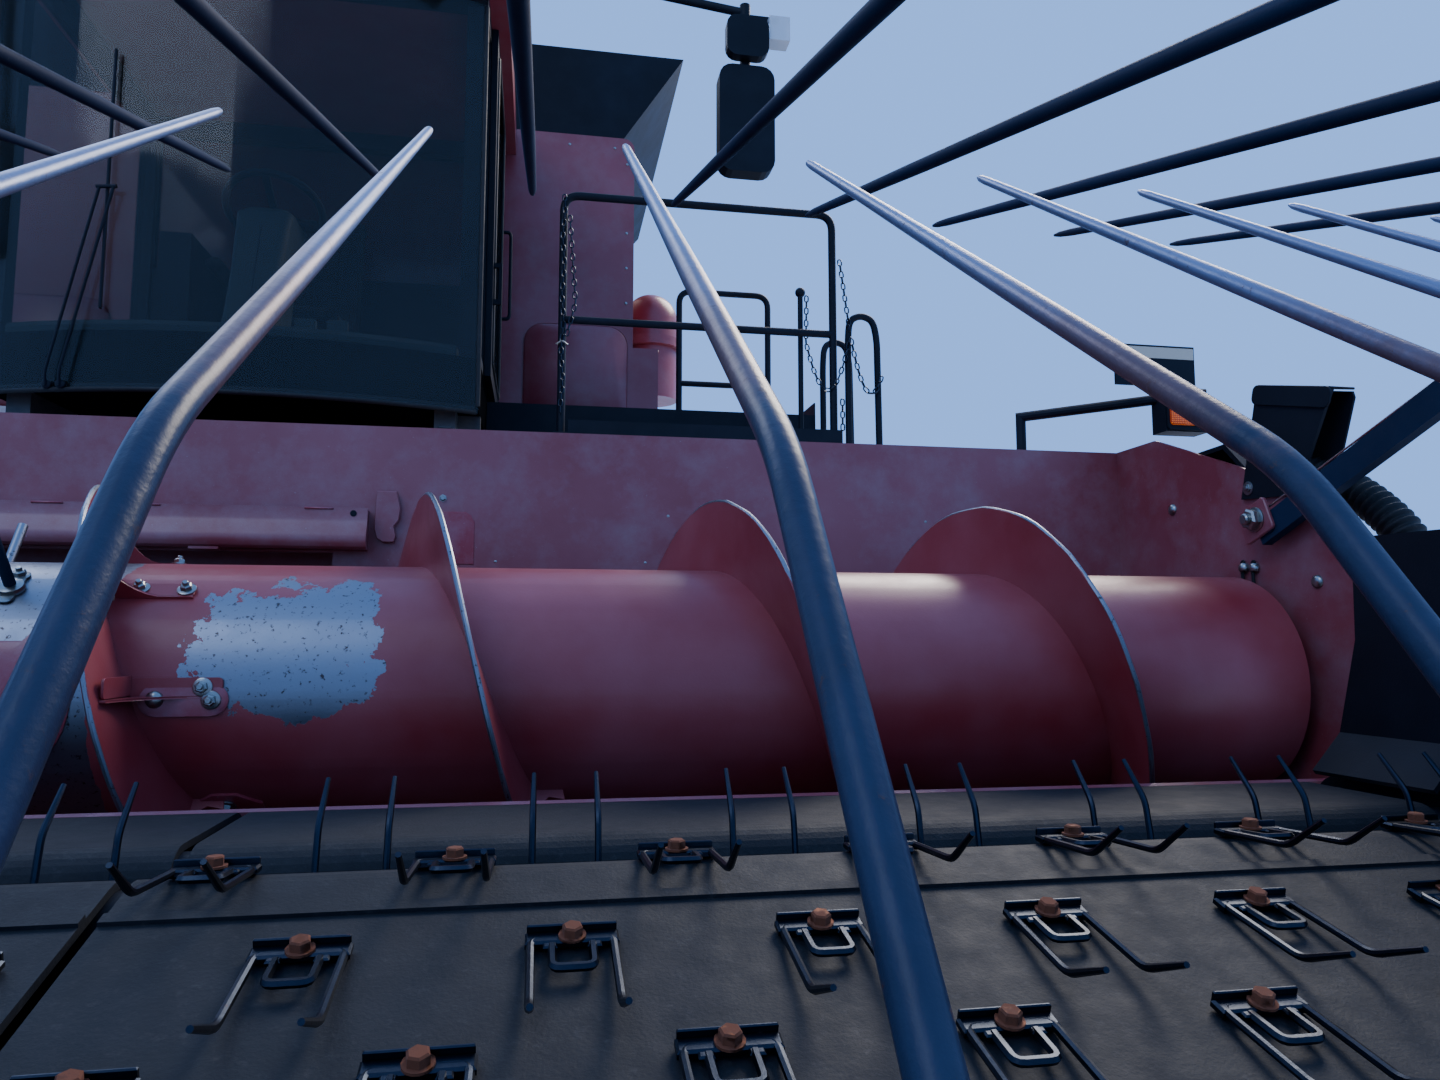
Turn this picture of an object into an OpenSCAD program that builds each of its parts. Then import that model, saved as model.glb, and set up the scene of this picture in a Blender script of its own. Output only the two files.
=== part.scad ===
// Combine harvester with a belt pickup header, parked with its header lowered.
// Millimetres. Z is up, the front of the machine points to -Y and its left side to +X.
// The origin lies on the ground under the middle of the machine's whole length.

/* [Wheels] */
// Distance from the front axle to the rear axle
wheelbase = 3500; // [3400:10:3600]
// Radius of a front tyre over its lugs
front_tyre_r = 850; // [840:1:860]
// Width of a front tyre
front_tyre_w = 760; // [700:5:770]
// Height of the front lugs
front_lug_h = 45; // [30:1:60]
// Middle plane of a front wheel from the middle of the machine
front_track_x = 1440; // [1435:1:1450]
// Radius of a front rim where the tyre seats
front_rim_r = 406; // [380:1:430]
// Radius of a rear tyre over its lugs
rear_tyre_r = 630; // [600:1:640]
// Width of a rear tyre
rear_tyre_w = 380; // [340:5:390]
// Height of the rear lugs
rear_lug_h = 32; // [20:1:40]
// Middle plane of a rear wheel from the middle of the machine
rear_track_x = 1310; // [1300:1:1330]
// Radius of a rear rim where the tyre seats
rear_rim_r = 305; // [290:1:320]

/* [Body] */
// Front axle from the middle of the machine's length
front_axle_y = 450; // [440:1:460]
// Half width of the inner body between the wheels
inner_body_x = 700; // [680:5:710]
// Half width over the lower side panels
panel_x = 1750; // [1730:5:1760]
// Thickness of a side panel
panel_t = 40; // [20:1:45]
// Top of the lower body and bottom of the grain tank
deck_z = 2300; // [2280:5:2320]
// Half width of the grain tank
tank_x = 1610; // [1580:5:1630]
// Top of the grain tank's red walls
tank_top_z = 3500; // [3450:5:3550]
// Length of the grain tank
tank_len = 2250; // [2200:10:2280]
// Thickness of a grain tank wall
tank_wall = 25; // [12:1:40]
// Height of the black tank extension
extension_h = 480; // [400:10:560]
// How far the extension flares out on each side
extension_flare = 270; // [200:10:300]

/* [Cab] */
// Half width of the cab
cab_x = 880; // [870:1:890]
// Depth of the cab from its front pillars to its rear wall
cab_len = 1400; // [1380:5:1410]
// Bulge of the windscreen ahead of the front pillars
screen_bulge = 180; // [150:5:200]
// Thickness of the windscreen and windows
glass_t = 8; // [5:1:12]
// Top of the cab's pillars
cab_top_z = 3330; // [3300:5:3360]
// Top of the cab floor
cab_floor_z = 1790; // [1780:1:1800]
// Top of the platform and of its steps' landing
platform_z = 1760; // [1750:1:1770]
// Length of the door
door_len = 800; // [760:5:820]

/* [Header] */
// Half width inside the header's end sheets
header_x = 2500; // [2480:5:2510]
// Auger axis ahead of the front axle
auger_ahead = 3600; // [3590:1:3620]
// Height of the auger axis
auger_z = 620; // [615:1:630]
// Radius of the auger tube
auger_tube_r = 203; // [190:1:210]
// Radius over the auger flighting
auger_flight_r = 330; // [310:1:335]
// Flighting pitch
flight_pitch = 500; // [480:5:520]
// Inner end of the flighting from the middle of the auger
flight_start_x = 360; // [330:5:400]
// Outer end of the flighting
flight_end_x = 2260; // [2200:10:2400]
// Thickness of the flighting
flight_t = 8; // [6:1:10]
// Thickness of the header's sheets
sheet_t = 8; // [6:1:10]
// Half width of the opening into the feeder house
throat_x = 700; // [660:10:760]

/* [Pickup] */
// Width of one pickup belt
belt_w = 1510; // [1490:5:1516]
// Space from one belt's middle to the next
belt_step = 1524; // [1524:1:1530]
// Thickness of a belt
belt_t = 8; // [6:1:10]
// Slope of the front belts
pickup_slope = 16; // [15:0.5:17]
// Rows of tines round a belt
tine_rows = 18; // [16:1:20]

/* [Windguard] */
// Radius of the cross tube
guard_tube_r = 45; // [40:1:50]
// Radius of a rod
guard_rod_r = 8; // [6:0.5:9]
// Space between rods of one kind
guard_rod_step = 230; // [220:1:240]

/* [Hidden] */
$fn = 48;

// Running gap at pins and shafts, and gap between seated pieces
pin_gap = 0.3;
seat = 0.3;

rear_axle_y = front_axle_y + wheelbase;
cab_front_y = front_axle_y - 60 - cab_len;
cab_rear_y = front_axle_y - 60;
tank_y0 = front_axle_y;
tank_y1 = front_axle_y + tank_len;
auger_y = front_axle_y - auger_ahead;

landing_y0 = cab_front_y + 170;
landing_y1 = front_axle_y - 865;
landing_z = 1540;

// Points of an arc in a plane, from angle a0 to a1 in n steps
function arc(cx, cy, r, a0, a1, n = 8) =
    [for (i = [0:n]) let (a = a0 + (a1 - a0) * i / n) [cx + r * cos(a), cy + r * sin(a)]];

// Outline of a strip of half width w along a line of 2D points
function unit2(v) = v / norm(v);
function band_dir(p, i) = let(n = len(p)) i == 0 ? unit2(p[1] - p[0]) : i == n - 1
    ? unit2(p[n - 1] - p[n - 2])
    : unit2(unit2(p[i] - p[i - 1]) + unit2(p[i + 1] - p[i]));
function band_side(p, w) = let(n = len(p)) [for (i = [0:n - 1]) let(d = band_dir(p, i),
    k = i == 0 || i == n - 1 ? 1 : 1 / (d * unit2(p[i + 1] - p[i]))) p[i] + w * k * [-d[1], d[0]]];
function band(p, w) = let(a = band_side(p, w), b = band_side(p, -w)) concat(a,
    [for (i = [len(b) - 1:-1:0]) b[i]]);

// A profile drawn in (Y, Z), made from X = x0 to x1
module prism_x(x0, x1, points) {
    translate([x0, 0, 0]) rotate([90, 0, 90]) linear_extrude(x1 - x0) polygon(points);
}

// A profile drawn in (X, Z), made from Y = y0 to y1
module prism_y(y0, y1, points) {
    translate([0, y1, 0]) rotate([90, 0, 0]) linear_extrude(y1 - y0) polygon(points);
}

// A box between two opposite corners
module block(low, high) {
    translate(low) cube(high - low);
}

// A round bar between two points
module bar(a, b, r, fn = 24) {
    d = b - a;
    length = norm(d);
    translate(a) rotate([0, acos(d[2] / length), atan2(d[1], d[0])]) cylinder(h = length, r = r,
        $fn = fn);
}

// A round bar along a list of points, with balls at its bends
module rail(points, r, fn = 16) {
    for (i = [0:len(points) - 2]) bar(points[i], points[i + 1], r, fn);
    for (i = [1:len(points) - 2]) translate(points[i]) sphere(r = r, $fn = fn);
}

// A round shaft along X
module shaft_x(x0, x1, y, z, r, fn = 48) {
    translate([x0, y, z]) rotate([0, 90, 0]) cylinder(h = x1 - x0, r = r, $fn = fn);
}

// The same piece on both sides
module both() {
    children();
    mirror([1, 0, 0]) children();
}

// A bent rod along points that lie in one plane with the given normal
module sweep(points, normal, r, sides=8) {
    n = len(points);
    function unit(v) = v / norm(v);
    function dir(i) = i == 0 ? unit(points[1] - points[0]) : i == n - 1
        ? unit(points[n - 1] - points[n - 2])
        : unit(unit(points[i] - points[i - 1]) + unit(points[i + 1] - points[i]));
    function stretch(i) = i == 0 || i == n - 1 ? 1 : 1 / (dir(i) * unit(points[i + 1] - points[i]));
    rings = [for (i = [0:n - 1]) for (k = [0:sides - 1])
        points[i] + r * (cos(360 * k / sides) * normal + sin(360 * k / sides) * stretch(i)
            * cross(dir(i), normal))];
    walls = [for (i = [0:n - 2]) for (k = [0:sides - 1])
        let(a = i * sides + k, b = i * sides + (k + 1) % sides)
            each [[a, a + sides, b], [b, a + sides, b + sides]]];
    polyhedron(rings, concat([[for (k = [0:sides - 1]) k]], walls,
        [[for (k = [sides - 1:-1:0]) (n - 1) * sides + k]]), convexity = 4);
}

// Frame and axles
frame_x0 = inner_body_x;
frame_x1 = frame_x0 + 90;
frame_z0 = 1030;
frame_z1 = 1200;
frame_y0 = front_axle_y - 330;
frame_y1 = front_axle_y + 4050;
cab_rail_z0 = 1520;
cab_rail_z1 = 1600;
axle_half_y = 150;
axle_z0 = 760;
spindle_r = 90;
hub_x0 = front_track_x - 340;
hub_x1 = front_track_x - 210;
pivot_y = front_axle_y - 250;
pivot_z = 1300;
pivot_r = 40;
platform_t = 30;
hitch_y = frame_y1 + 80;
hitch_t = 25;
hitch_r = 16;
lift_x = 560;
lift_base_y = front_axle_y - 420;
lift_base_z = 800;
lift_pin_r = 22;

module main_frame() {
    color("dimgray") {
        both() difference() {
            union() {
                block([frame_x0, frame_y0, frame_z0], [frame_x1, frame_y1, frame_z1]);
                // Upright that carries the feeder house pivot and the cab
                block([frame_x0 + 10, frame_y0, frame_z0], [frame_x1, frame_y0 + 170, cab_rail_z1]);
                block([frame_x0 + 10, cab_front_y + 60, cab_rail_z0],
                    [frame_x1, frame_y0 + 1, cab_rail_z1]);
            }
            shaft_x(frame_x0, frame_x1 + 10, pivot_y, pivot_z, pivot_r + pin_gap);
        }
        // Bracket under the landing
        prism_y(landing_y0 + 10, landing_y0 + 60,
            [[frame_x1 - 1, cab_rail_z1], [frame_x1 - 1, 1400], [2100, landing_z - 70],
            [2300, landing_z - 70], [2300, landing_z - platform_t - seat],
                [cab_x - 2, landing_z - platform_t - seat],
            [cab_x - 2, cab_rail_z1]]);
        block([-frame_x1, rear_axle_y - 90, 870], [frame_x1, rear_axle_y + 90, frame_z0]);
        block([-frame_x1, frame_y1 - 80, frame_z0], [frame_x1, frame_y1, frame_z0 + 80]);
        // Tow hitch plate
        difference() {
            block([-70, frame_y1 - 81, frame_z0], [70, hitch_y + 50, frame_z0 + hitch_t]);
            translate([0, hitch_y, frame_z0 - 1]) cylinder(h = hitch_t + 2, r = hitch_r);
        }
    }
}

module front_axle() {
    color("dimgray") {
        difference() {
            union() {
                block([-1000, front_axle_y - axle_half_y, axle_z0],
                    [1000, front_axle_y + axle_half_y, frame_z0]);
                // Ears for the lift cylinders
                both() for (x = [lift_x - 65, lift_x + 40])
                    prism_x(x, x + 25, concat(arc(lift_base_y, lift_base_z, 50, 90, 270, 8),
                        [[front_axle_y - axle_half_y, axle_z0],
                            [front_axle_y - axle_half_y, axle_z0 + 200]]));
            }
            both() shaft_x(lift_x - 70, lift_x + 70, lift_base_y, lift_base_z, lift_pin_r + pin_gap, 32);
        }
        both() {
            shaft_x(880, hub_x0 - 40, front_axle_y, front_tyre_r, 230);
            shaft_x(hub_x0 - 41, hub_x1 - 3, front_axle_y, front_tyre_r, spindle_r);
        }
    }
}

// Rear axle beam on its centre pivot, with the kingpins
kingpin_x = 960;
rear_beam_z0 = rear_tyre_r - 90;
rear_beam_z1 = rear_tyre_r + 90;
module rear_axle() {
    color("dimgray") {
        block([-kingpin_x + 70, rear_axle_y - 70, rear_beam_z0],
            [kingpin_x - 70, rear_axle_y + 70, rear_beam_z1]);
        block([-150, rear_axle_y - 110, rear_beam_z1 - 1], [150, rear_axle_y + 110, 870]);
        both() for (z = [rear_beam_z0 - 40, rear_beam_z1]) difference() {
            hull() {
                translate([kingpin_x, rear_axle_y, z]) cylinder(h = 40, r = 60, $fn = 32);
                block([kingpin_x - 130, rear_axle_y - 70, z],
                    [kingpin_x - 110, rear_axle_y + 70, z + 40]);
            }
        }
        both() translate([kingpin_x, rear_axle_y, rear_beam_z0 - 45]) cylinder(h = rear_beam_z1
            - rear_beam_z0 + 90, r = 30);
    }
}

// Knuckle with its spindle; the kingpin passes through it, and its arm carries the tie rod's pin
tie_y = rear_axle_y + 230;
tie_z = rear_tyre_r - 30;
module knuckle() {
    color("dimgray") {
        difference() {
            union() {
                translate([kingpin_x, rear_axle_y, rear_beam_z0 + 3])
                    cylinder(h = rear_beam_z1 - rear_beam_z0 - 6, r = 55);
                shaft_x(kingpin_x, kingpin_x + 250, rear_axle_y, rear_tyre_r, 45);
                block([kingpin_x - 20, rear_axle_y + 20, tie_z - 30], [kingpin_x + 20, tie_y, tie_z - 5]);
                translate([kingpin_x, tie_y, tie_z - 30]) cylinder(h = 25, r = 32, $fn = 32);
                translate([kingpin_x, tie_y, tie_z - 6]) cylinder(h = 40, r = 12, $fn = 32);
            }
            translate([kingpin_x, rear_axle_y, rear_beam_z0 - 10]) cylinder(h = rear_beam_z1
                - rear_beam_z0 + 20, r = 30 + pin_gap);
        }
    }
}

// Rod that joins the two knuckles' arms, with an eye on each pin
module tie_rod() {
    color("dimgray") difference() {
        union() {
            shaft_x(-kingpin_x + 20, kingpin_x - 20, tie_y, tie_z + 13, 16, 32);
            both() translate([kingpin_x, tie_y, tie_z]) cylinder(h = 26, r = 28, $fn = 32);
        }
        both() translate([kingpin_x, tie_y, tie_z - 1]) cylinder(h = 30, r = 12 + pin_gap, $fn = 32);
    }
}

// A tyre about the X axis: beads on the rim, bulged sides, a rounded crown and slanted lugs, which reach
// the full radius in a ring that follows the crown
lug_count = 20;
lug_w = 62;
lug_slant = 42;
module tyre_ring(r, w, rim_r, low, out) {
    side = w / 2;
    mid_r = (rim_r + r) / 2 - 20;
    shoulder = r - 70;
    rotate([0, 90, 0]) rotate_extrude($fn = 96) polygon(concat([[low, 80 - side]], low > rim_r + 50 ? [] :
        concat([[rim_r + 40, 76 - side]], arc(mid_r, 60 - side, 60, -150, -60, 4)),
        [[shoulder, -side + 28 - out], [r, -side + 110 - out], [r, side - 110 + out],
            [shoulder, side - 28 + out]],
        low > rim_r + 50 ? [] : concat(arc(mid_r, side - 60, 60, 60, 150, 4), [[rim_r + 40, side - 76]]),
        [[low, side - 80]]));
}

module tyre(r, w, rim_r, lug_h) {
    color("dimgray") {
        tyre_ring(r - lug_h, w, rim_r, rim_r + seat, 0);
        // Lugs: slanted bars on each half of the tread, cut to the crown's ring
        intersection() {
            tyre_ring(r, w, rim_r, r - lug_h - 60, 22);
            both() for (i = [0:lug_count - 1]) rotate([360 * i / lug_count, 0, 0])
                translate([0, 0, r - lug_h - 65]) rotate([0, 0, lug_slant])
                    translate([-20, -lug_w / 2, 0])
                    cube([w * 0.75, lug_w, lug_h + 90]);
        }
    }
}

// A rim about the X axis: barrel with flanges, dished disc and a hub with a bore that opens to -X
module rim(w, rim_r, disc_x, bore_r, hub_r, hub_len) {
    color("gainsboro") {
        half = w / 2 - 80;
        rotate([0, 90, 0]) rotate_extrude($fn = 96) union() {
            polygon([[rim_r - 14, -half - 26], [rim_r + 26, -half - 26], [rim_r + 26, -half - 14 - seat],
                [rim_r, -half - 6], [rim_r, half + 6], [rim_r + 26, half + 14 + seat],
                    [rim_r + 26, half + 26],
                [rim_r - 14, half + 26], [rim_r - 14, half - 12], [rim_r - 26, half - 60],
                    [rim_r - 26, -half + 60],
                [rim_r - 14, -half + 12]]);
            polygon([[0, disc_x], [hub_r + 60, disc_x], [rim_r - 60, disc_x + 60],
                [rim_r - 25, disc_x + 60],
                [rim_r - 25, disc_x + 80], [rim_r - 70, disc_x + 80], [hub_r + 50, disc_x + 20],
                    [0, disc_x + 20]]);
            polygon([[bore_r, disc_x - hub_len], [hub_r, disc_x - hub_len], [hub_r, disc_x + 10],
                [bore_r, disc_x + 10]]);
        }
        // Wheel nuts
        for (a = [0:45:359]) rotate([a, 0, 0]) translate([disc_x + 19, 0, hub_r - 20]) rotate([0, 90, 0])
            cylinder(h = 24, r = 16, $fn = 6);
    }
}

module at_front_wheel() {
    translate([front_track_x, front_axle_y, front_tyre_r]) children();
}

module at_rear_wheel() {
    translate([rear_track_x, rear_axle_y, rear_tyre_r]) children();
}

module front_rim() {
    at_front_wheel() rim(front_tyre_w, front_rim_r, hub_x1 - front_track_x, spindle_r + pin_gap, 150,
        hub_x1 - hub_x0);
}

module rear_rim() {
    at_rear_wheel() rim(rear_tyre_w, rear_rim_r, kingpin_x + 255 - rear_track_x, 45 + pin_gap, 90, 90);
}

// Body: threshing and cleaning housing, side panels, tank, hoods
deck_z0 = 1900;
body_y0 = front_axle_y + 45;
body_y1 = front_axle_y + 3960;
body_end_y = front_axle_y + 4300;
hood_x = 1400;
hood_y0 = tank_y1 + 40;
hood_z1 = 3100;
hood_t = 12;

module separator_body() {
    color("firebrick") difference() {
        union() {
            prism_x(-inner_body_x, inner_body_x,
                [[body_y0, 1060], [body_y0, deck_z0 + 1], [body_y1, deck_z0 + 1],
                [body_y1, 1250], [body_y1 - 500, 1060], [front_axle_y + 2900, 1060],
                    [front_axle_y + 2700, 1050],
                [front_axle_y + 500, 1050]]);
            block([-panel_x + panel_t, front_axle_y, deck_z0], [panel_x - panel_t, body_end_y, deck_z]);
        }
        // Throat that the feeder house feeds
        block([-560, body_y0 - 1, 1130], [560, body_y0 + 350, 1480]);
    }
}

module side_panel() {
    // Pressed ribs along the panel and its handle
    color("firebrick") for (z = [1420, 1640])
        block([panel_x - 1, front_axle_y + 1150, z], [panel_x + 10, body_end_y - 250, z + 60]);
    color("dimgray") block([panel_x - 1, front_axle_y + 2500, 1530],
        [panel_x + 25, front_axle_y + 2640, 1560]);
    color("firebrick") prism_x(panel_x - panel_t, panel_x,
        concat([[front_axle_y, deck_z0], [front_axle_y + 950, deck_z0],
        [front_axle_y + 1010, 1240]], arc(front_axle_y + 1060, 1250, 50, 180, 270, 4),
        [[front_axle_y + 2700, 1200], [front_axle_y + 2850, 1400]],
        arc(body_end_y - 80, 1480, 80, -90, 0, 4), [[body_end_y, deck_z], [front_axle_y, deck_z]]));
}

module grain_tank() {
    color("firebrick") difference() {
        prism_y(tank_y0, tank_y1, concat([[-tank_x, deck_z], [tank_x, deck_z]],
            arc(tank_x - 60, tank_top_z - 60, 60, 0, 90, 4),
            arc(-tank_x + 60, tank_top_z - 60, 60, 90, 180, 4)));
        // Funnel inside that leads to the cross auger
        hull() {
            block([-tank_x + 100, tank_y0 + tank_wall, tank_top_z - 2],
                [tank_x - 100, tank_y1 - tank_wall, tank_top_z + 2]);
            block([-tank_x + tank_wall, tank_y0 + tank_wall, tank_top_z - 80],
                [tank_x - tank_wall, tank_y1 - tank_wall, tank_top_z - 60]);
            block([-tank_x + tank_wall, tank_y0 + tank_wall, deck_z + 700],
                [tank_x - tank_wall, tank_y1 - tank_wall, deck_z + 701]);
            block([-500, tank_y0 + 500, deck_z + 40], [500, tank_y1 - 900, deck_z + 41]);
        }
    }
}

// Flared extension panels round the tank's opening
module tank_extension() {
    color("dimgray") difference() {
        hull() {
            block([-tank_x + 60, tank_y0, tank_top_z], [tank_x - 60, tank_y1, tank_top_z + 1]);
            block([-tank_x - extension_flare, tank_y0 - 40, tank_top_z + extension_h - 1],
                [tank_x + extension_flare, tank_y1 + 300, tank_top_z + extension_h]);
        }
        hull() {
            block([-tank_x + 92, tank_y0 + 12, tank_top_z - 1], [tank_x - 92, tank_y1 - 12, tank_top_z]);
            block([-tank_x - extension_flare + 16, tank_y0 - 28, tank_top_z + extension_h],
                [tank_x + extension_flare - 16, tank_y1 + 288, tank_top_z + extension_h + 1]);
        }
    }
}

module tank_auger() {
    color("gray") bar([0, tank_y0 + 680, deck_z + 98.5], [0, tank_y0 + 1500, tank_top_z + 200], 110, 32);
}

module engine_hood() {
    color("firebrick") difference() {
        prism_y(hood_y0, body_end_y - 20, [[-hood_x, deck_z], [hood_x, deck_z], [hood_x, hood_z1 - 160],
            [hood_x - 120, hood_z1],
            [-hood_x + 120, hood_z1], [-hood_x, hood_z1 - 160]]);
        prism_y(hood_y0 + hood_t, body_end_y - 20 - hood_t,
            [[-hood_x + hood_t, deck_z - 1], [hood_x - hood_t, deck_z - 1],
            [hood_x - hood_t, hood_z1 - 165], [hood_x - 125, hood_z1 - hood_t],
                [-hood_x + 125, hood_z1 - hood_t],
            [-hood_x + hood_t, hood_z1 - 165]]);
        // Louvres in both sides
        for (i = [0:8]) block([-hood_x - 1, hood_y0 + 300, deck_z + 120 + i * 55],
            [hood_x + 1, hood_y0 + 1200, deck_z + 145 + i * 55]);
    }
}

module engine_block() {
    color("gray") block([-420, hood_y0 + 500, deck_z], [420, hood_y0 + 1500, deck_z + 620]);
}

module rear_hood() {
    y0 = body_end_y;
    color("firebrick") difference() {
        prism_x(-hood_x, hood_x, [[y0, deck_z + 560], [y0 + 60, deck_z + 540], [y0 + 330, 1500],
            [y0, 1400]]);
        prism_x(-hood_x + 12, hood_x - 12, [[y0 - 1, deck_z + 545], [y0 + 50, deck_z + 525],
            [y0 + 316, 1510],
            [y0 + 316, 1300], [y0 - 1, 1300]]);
    }
}

module exhaust() {
    color("gray") {
        translate([-900, hood_y0 + 700, hood_z1]) difference() {
            cylinder(h = 420, r = 75);
            translate([0, 0, 20]) cylinder(h = 420, r = 68);
        }
    }
}

// Straw chopper housing behind the body, with a bearing post for each spreader
spreader_x = 360;
spreader_y = front_axle_y + 4560;
spreader_z = 1000;
spreader_r = 330;
module straw_chopper() {
    color("firebrick") {
        prism_x(-inner_body_x, inner_body_x, [[body_y1 + 90, 1130], [body_y1 + 90, deck_z0],
            [body_end_y, deck_z0], [body_end_y, 1400],
            [body_end_y + 120, 1330], [body_end_y + 120, 1180], [body_end_y - 60, 1130]]);
        block([-620, body_end_y + 119, 1190], [620, spreader_y + 60, 1230]);
        both() translate([spreader_x, spreader_y, 1100]) cylinder(h = 91, r = 60);
        both() translate([spreader_x, spreader_y, spreader_z + 3]) cylinder(h = 100, r = 22);
    }
}

module spreader() {
    color("dimgray") translate([spreader_x, spreader_y, spreader_z]) difference() {
        union() {
            translate([0, 0, -8]) cylinder(h = 8, r = spreader_r);
            cylinder(h = 80, r = 50);
            for (a = [0:60:359]) rotate([0, 0, a]) block([45, -4, -1], [spreader_r - 10, 4, 60]);
        }
        cylinder(h = 90, r = 22 + pin_gap);
    }
}

// Cab
post = 80;
screen_r = (cab_x * cab_x + screen_bulge * screen_bulge) / (2 * screen_bulge);
screen_a = asin(cab_x / screen_r);
screen_z0 = cab_rail_z1 - 30;
door_y1 = front_axle_y - 350;
door_y0 = door_y1 - door_len;
door_hinge_x = cab_x + 14;
sill_z = cab_floor_z + 40;
header_rail_z = cab_top_z - 80;

// Points of the windscreen's curve at a distance out from its outer face, from the right post to the left
// one
function screen_points(out, n=16) = let(r = screen_r + out)
    [for (i = [0:n]) let(a = -90 - screen_a + 2 * screen_a * i / n)
        [r * cos(a), cab_front_y - screen_bulge + screen_r + r * sin(a)]];

module cab_base() {
    color("dimgray") {
        translate([0, 0, cab_rail_z1]) linear_extrude(cab_floor_z - cab_rail_z1)
            polygon(concat([[-cab_x, cab_rear_y]], screen_points(-glass_t - seat),
                [[cab_x, cab_rear_y]]));
    }
}

module cab_frame() {
    color("dimgray") {
        x0 = cab_x - post;
        both() {
            block([x0, cab_front_y + 10, cab_floor_z], [cab_x, cab_front_y + post, cab_top_z]);
            block([x0, cab_rear_y - post, cab_floor_z], [cab_x, cab_rear_y, cab_top_z]);
            block([x0, cab_front_y + 10, header_rail_z], [cab_x, cab_rear_y, cab_top_z]);
            block([x0, cab_front_y + 10, cab_floor_z], [cab_x, cab_rear_y, sill_z]);
        }
        // Posts either side of the door
        block([x0, door_y0 - 45, cab_floor_z], [cab_x, door_y0 - 5, cab_top_z]);
        block([x0, door_y1 + 5, cab_floor_z], [cab_x, door_y1 + 60, cab_top_z]);
        // Header rail over the windscreen and the rear wall
        translate([0, 0, header_rail_z]) linear_extrude(cab_top_z - header_rail_z)
            polygon(concat([[-cab_x, cab_front_y + post]], screen_points(-glass_t - seat),
                [[cab_x, cab_front_y + post]]));
        block([-x0, cab_rear_y - 50, cab_floor_z], [x0, cab_rear_y, 2550]);
        block([-x0, cab_rear_y - post, header_rail_z], [x0, cab_rear_y, cab_top_z]);
        // Door hinge lugs
        for (z = [2050, 3000]) difference() {
            union() {
                block([cab_x - 1, door_y1 + 12, z - 40], [door_hinge_x + 4, door_y1 + 40, z - 2]);
                translate([door_hinge_x + 4, door_y1 + 22, z - 40]) cylinder(h = 38, r = 18, $fn = 32);
            }
        }
        for (z = [2050, 3000]) translate([door_hinge_x + 4, door_y1 + 22, z - 20]) cylinder(h = 60, r = 8,
            $fn = 32);
    }
}

module windscreen() {
    color("lightblue", 0.5) translate([0, 0, screen_z0]) linear_extrude(cab_top_z - screen_z0)
        polygon(concat(screen_points(0), [for (i = [16:-1:0]) screen_points(-glass_t)[i]]));
}

module cab_windows() {
    color("lightblue", 0.5) {
        x1 = cab_x - 20;
        block([-x1, cab_front_y + post, sill_z], [-x1 + glass_t, cab_rear_y - post, header_rail_z]);
        block([x1 - glass_t, cab_front_y + post, sill_z], [x1, door_y0 - 45, header_rail_z]);
        block([x1 - glass_t, door_y1 + 60, sill_z], [x1, cab_rear_y - post, header_rail_z]);
        block([-x1 + 60, cab_rear_y - 34, 2550], [x1 - 60, cab_rear_y - 34 + glass_t, header_rail_z]);
    }
}

// Rear-hinged door: a frame just outside the cab's posts
door_z0 = cab_floor_z + 6;
door_z1 = cab_top_z - 6;
module cab_door() {
    color("dimgray") {
        x0 = cab_x + 4;
        difference() {
            block([x0, door_y0 - 30, door_z0], [x0 + 26, door_y1 + 2, door_z1]);
            block([x0 - 1, door_y0 + 30, door_z0 + 70], [x0 + 27, door_y1 - 60, door_z1 - 70]);
        }
        block([x0 + 25, door_y0 + 10, 2280], [x0 + 60, door_y0 + 26, 2300]);
        block([x0 + 50, door_y0 + 10, 2120], [x0 + 62, door_y0 + 26, 2300]);
        block([x0 + 25, door_y0 + 10, 2120], [x0 + 60, door_y0 + 26, 2140]);
        for (z = [2050, 3000]) difference() {
            union() {
                translate([door_hinge_x + 4, door_y1 + 22, z]) cylinder(h = 38, r = 18, $fn = 32);
                block([x0 + 2, door_y1 - 20, z], [x0 + 26, door_y1 + 22, z + 38]);
            }
            translate([door_hinge_x + 4, door_y1 + 22, z - 1]) cylinder(h = 41, r = 8 + pin_gap,
                $fn = 32);
        }
    }
}

module door_glass() {
    color("lightblue", 0.5) block([cab_x + 12, door_y0 + 30, door_z0 + 70],
        [cab_x + 12 + glass_t, door_y1 - 60, door_z1 - 70]);
}

// Outline of the roof seen from above, drawn in by i
function roof_outline(i) = let(x = 960 - i) concat([[x, cab_rear_y + 20 - i], [-x, cab_rear_y + 20 - i]],
    [for (k = [0:12]) let(u = k / 6 - 1) [x * u, cab_front_y - 100 + i - screen_bulge * (1 - u * u)]]);

module cab_roof() {
    color("firebrick") {
        hull() {
            translate([0, 0, cab_top_z]) linear_extrude(150) polygon(roof_outline(0));
            translate([0, 0, cab_top_z]) linear_extrude(240) polygon(roof_outline(70));
        }
    }
}

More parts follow.
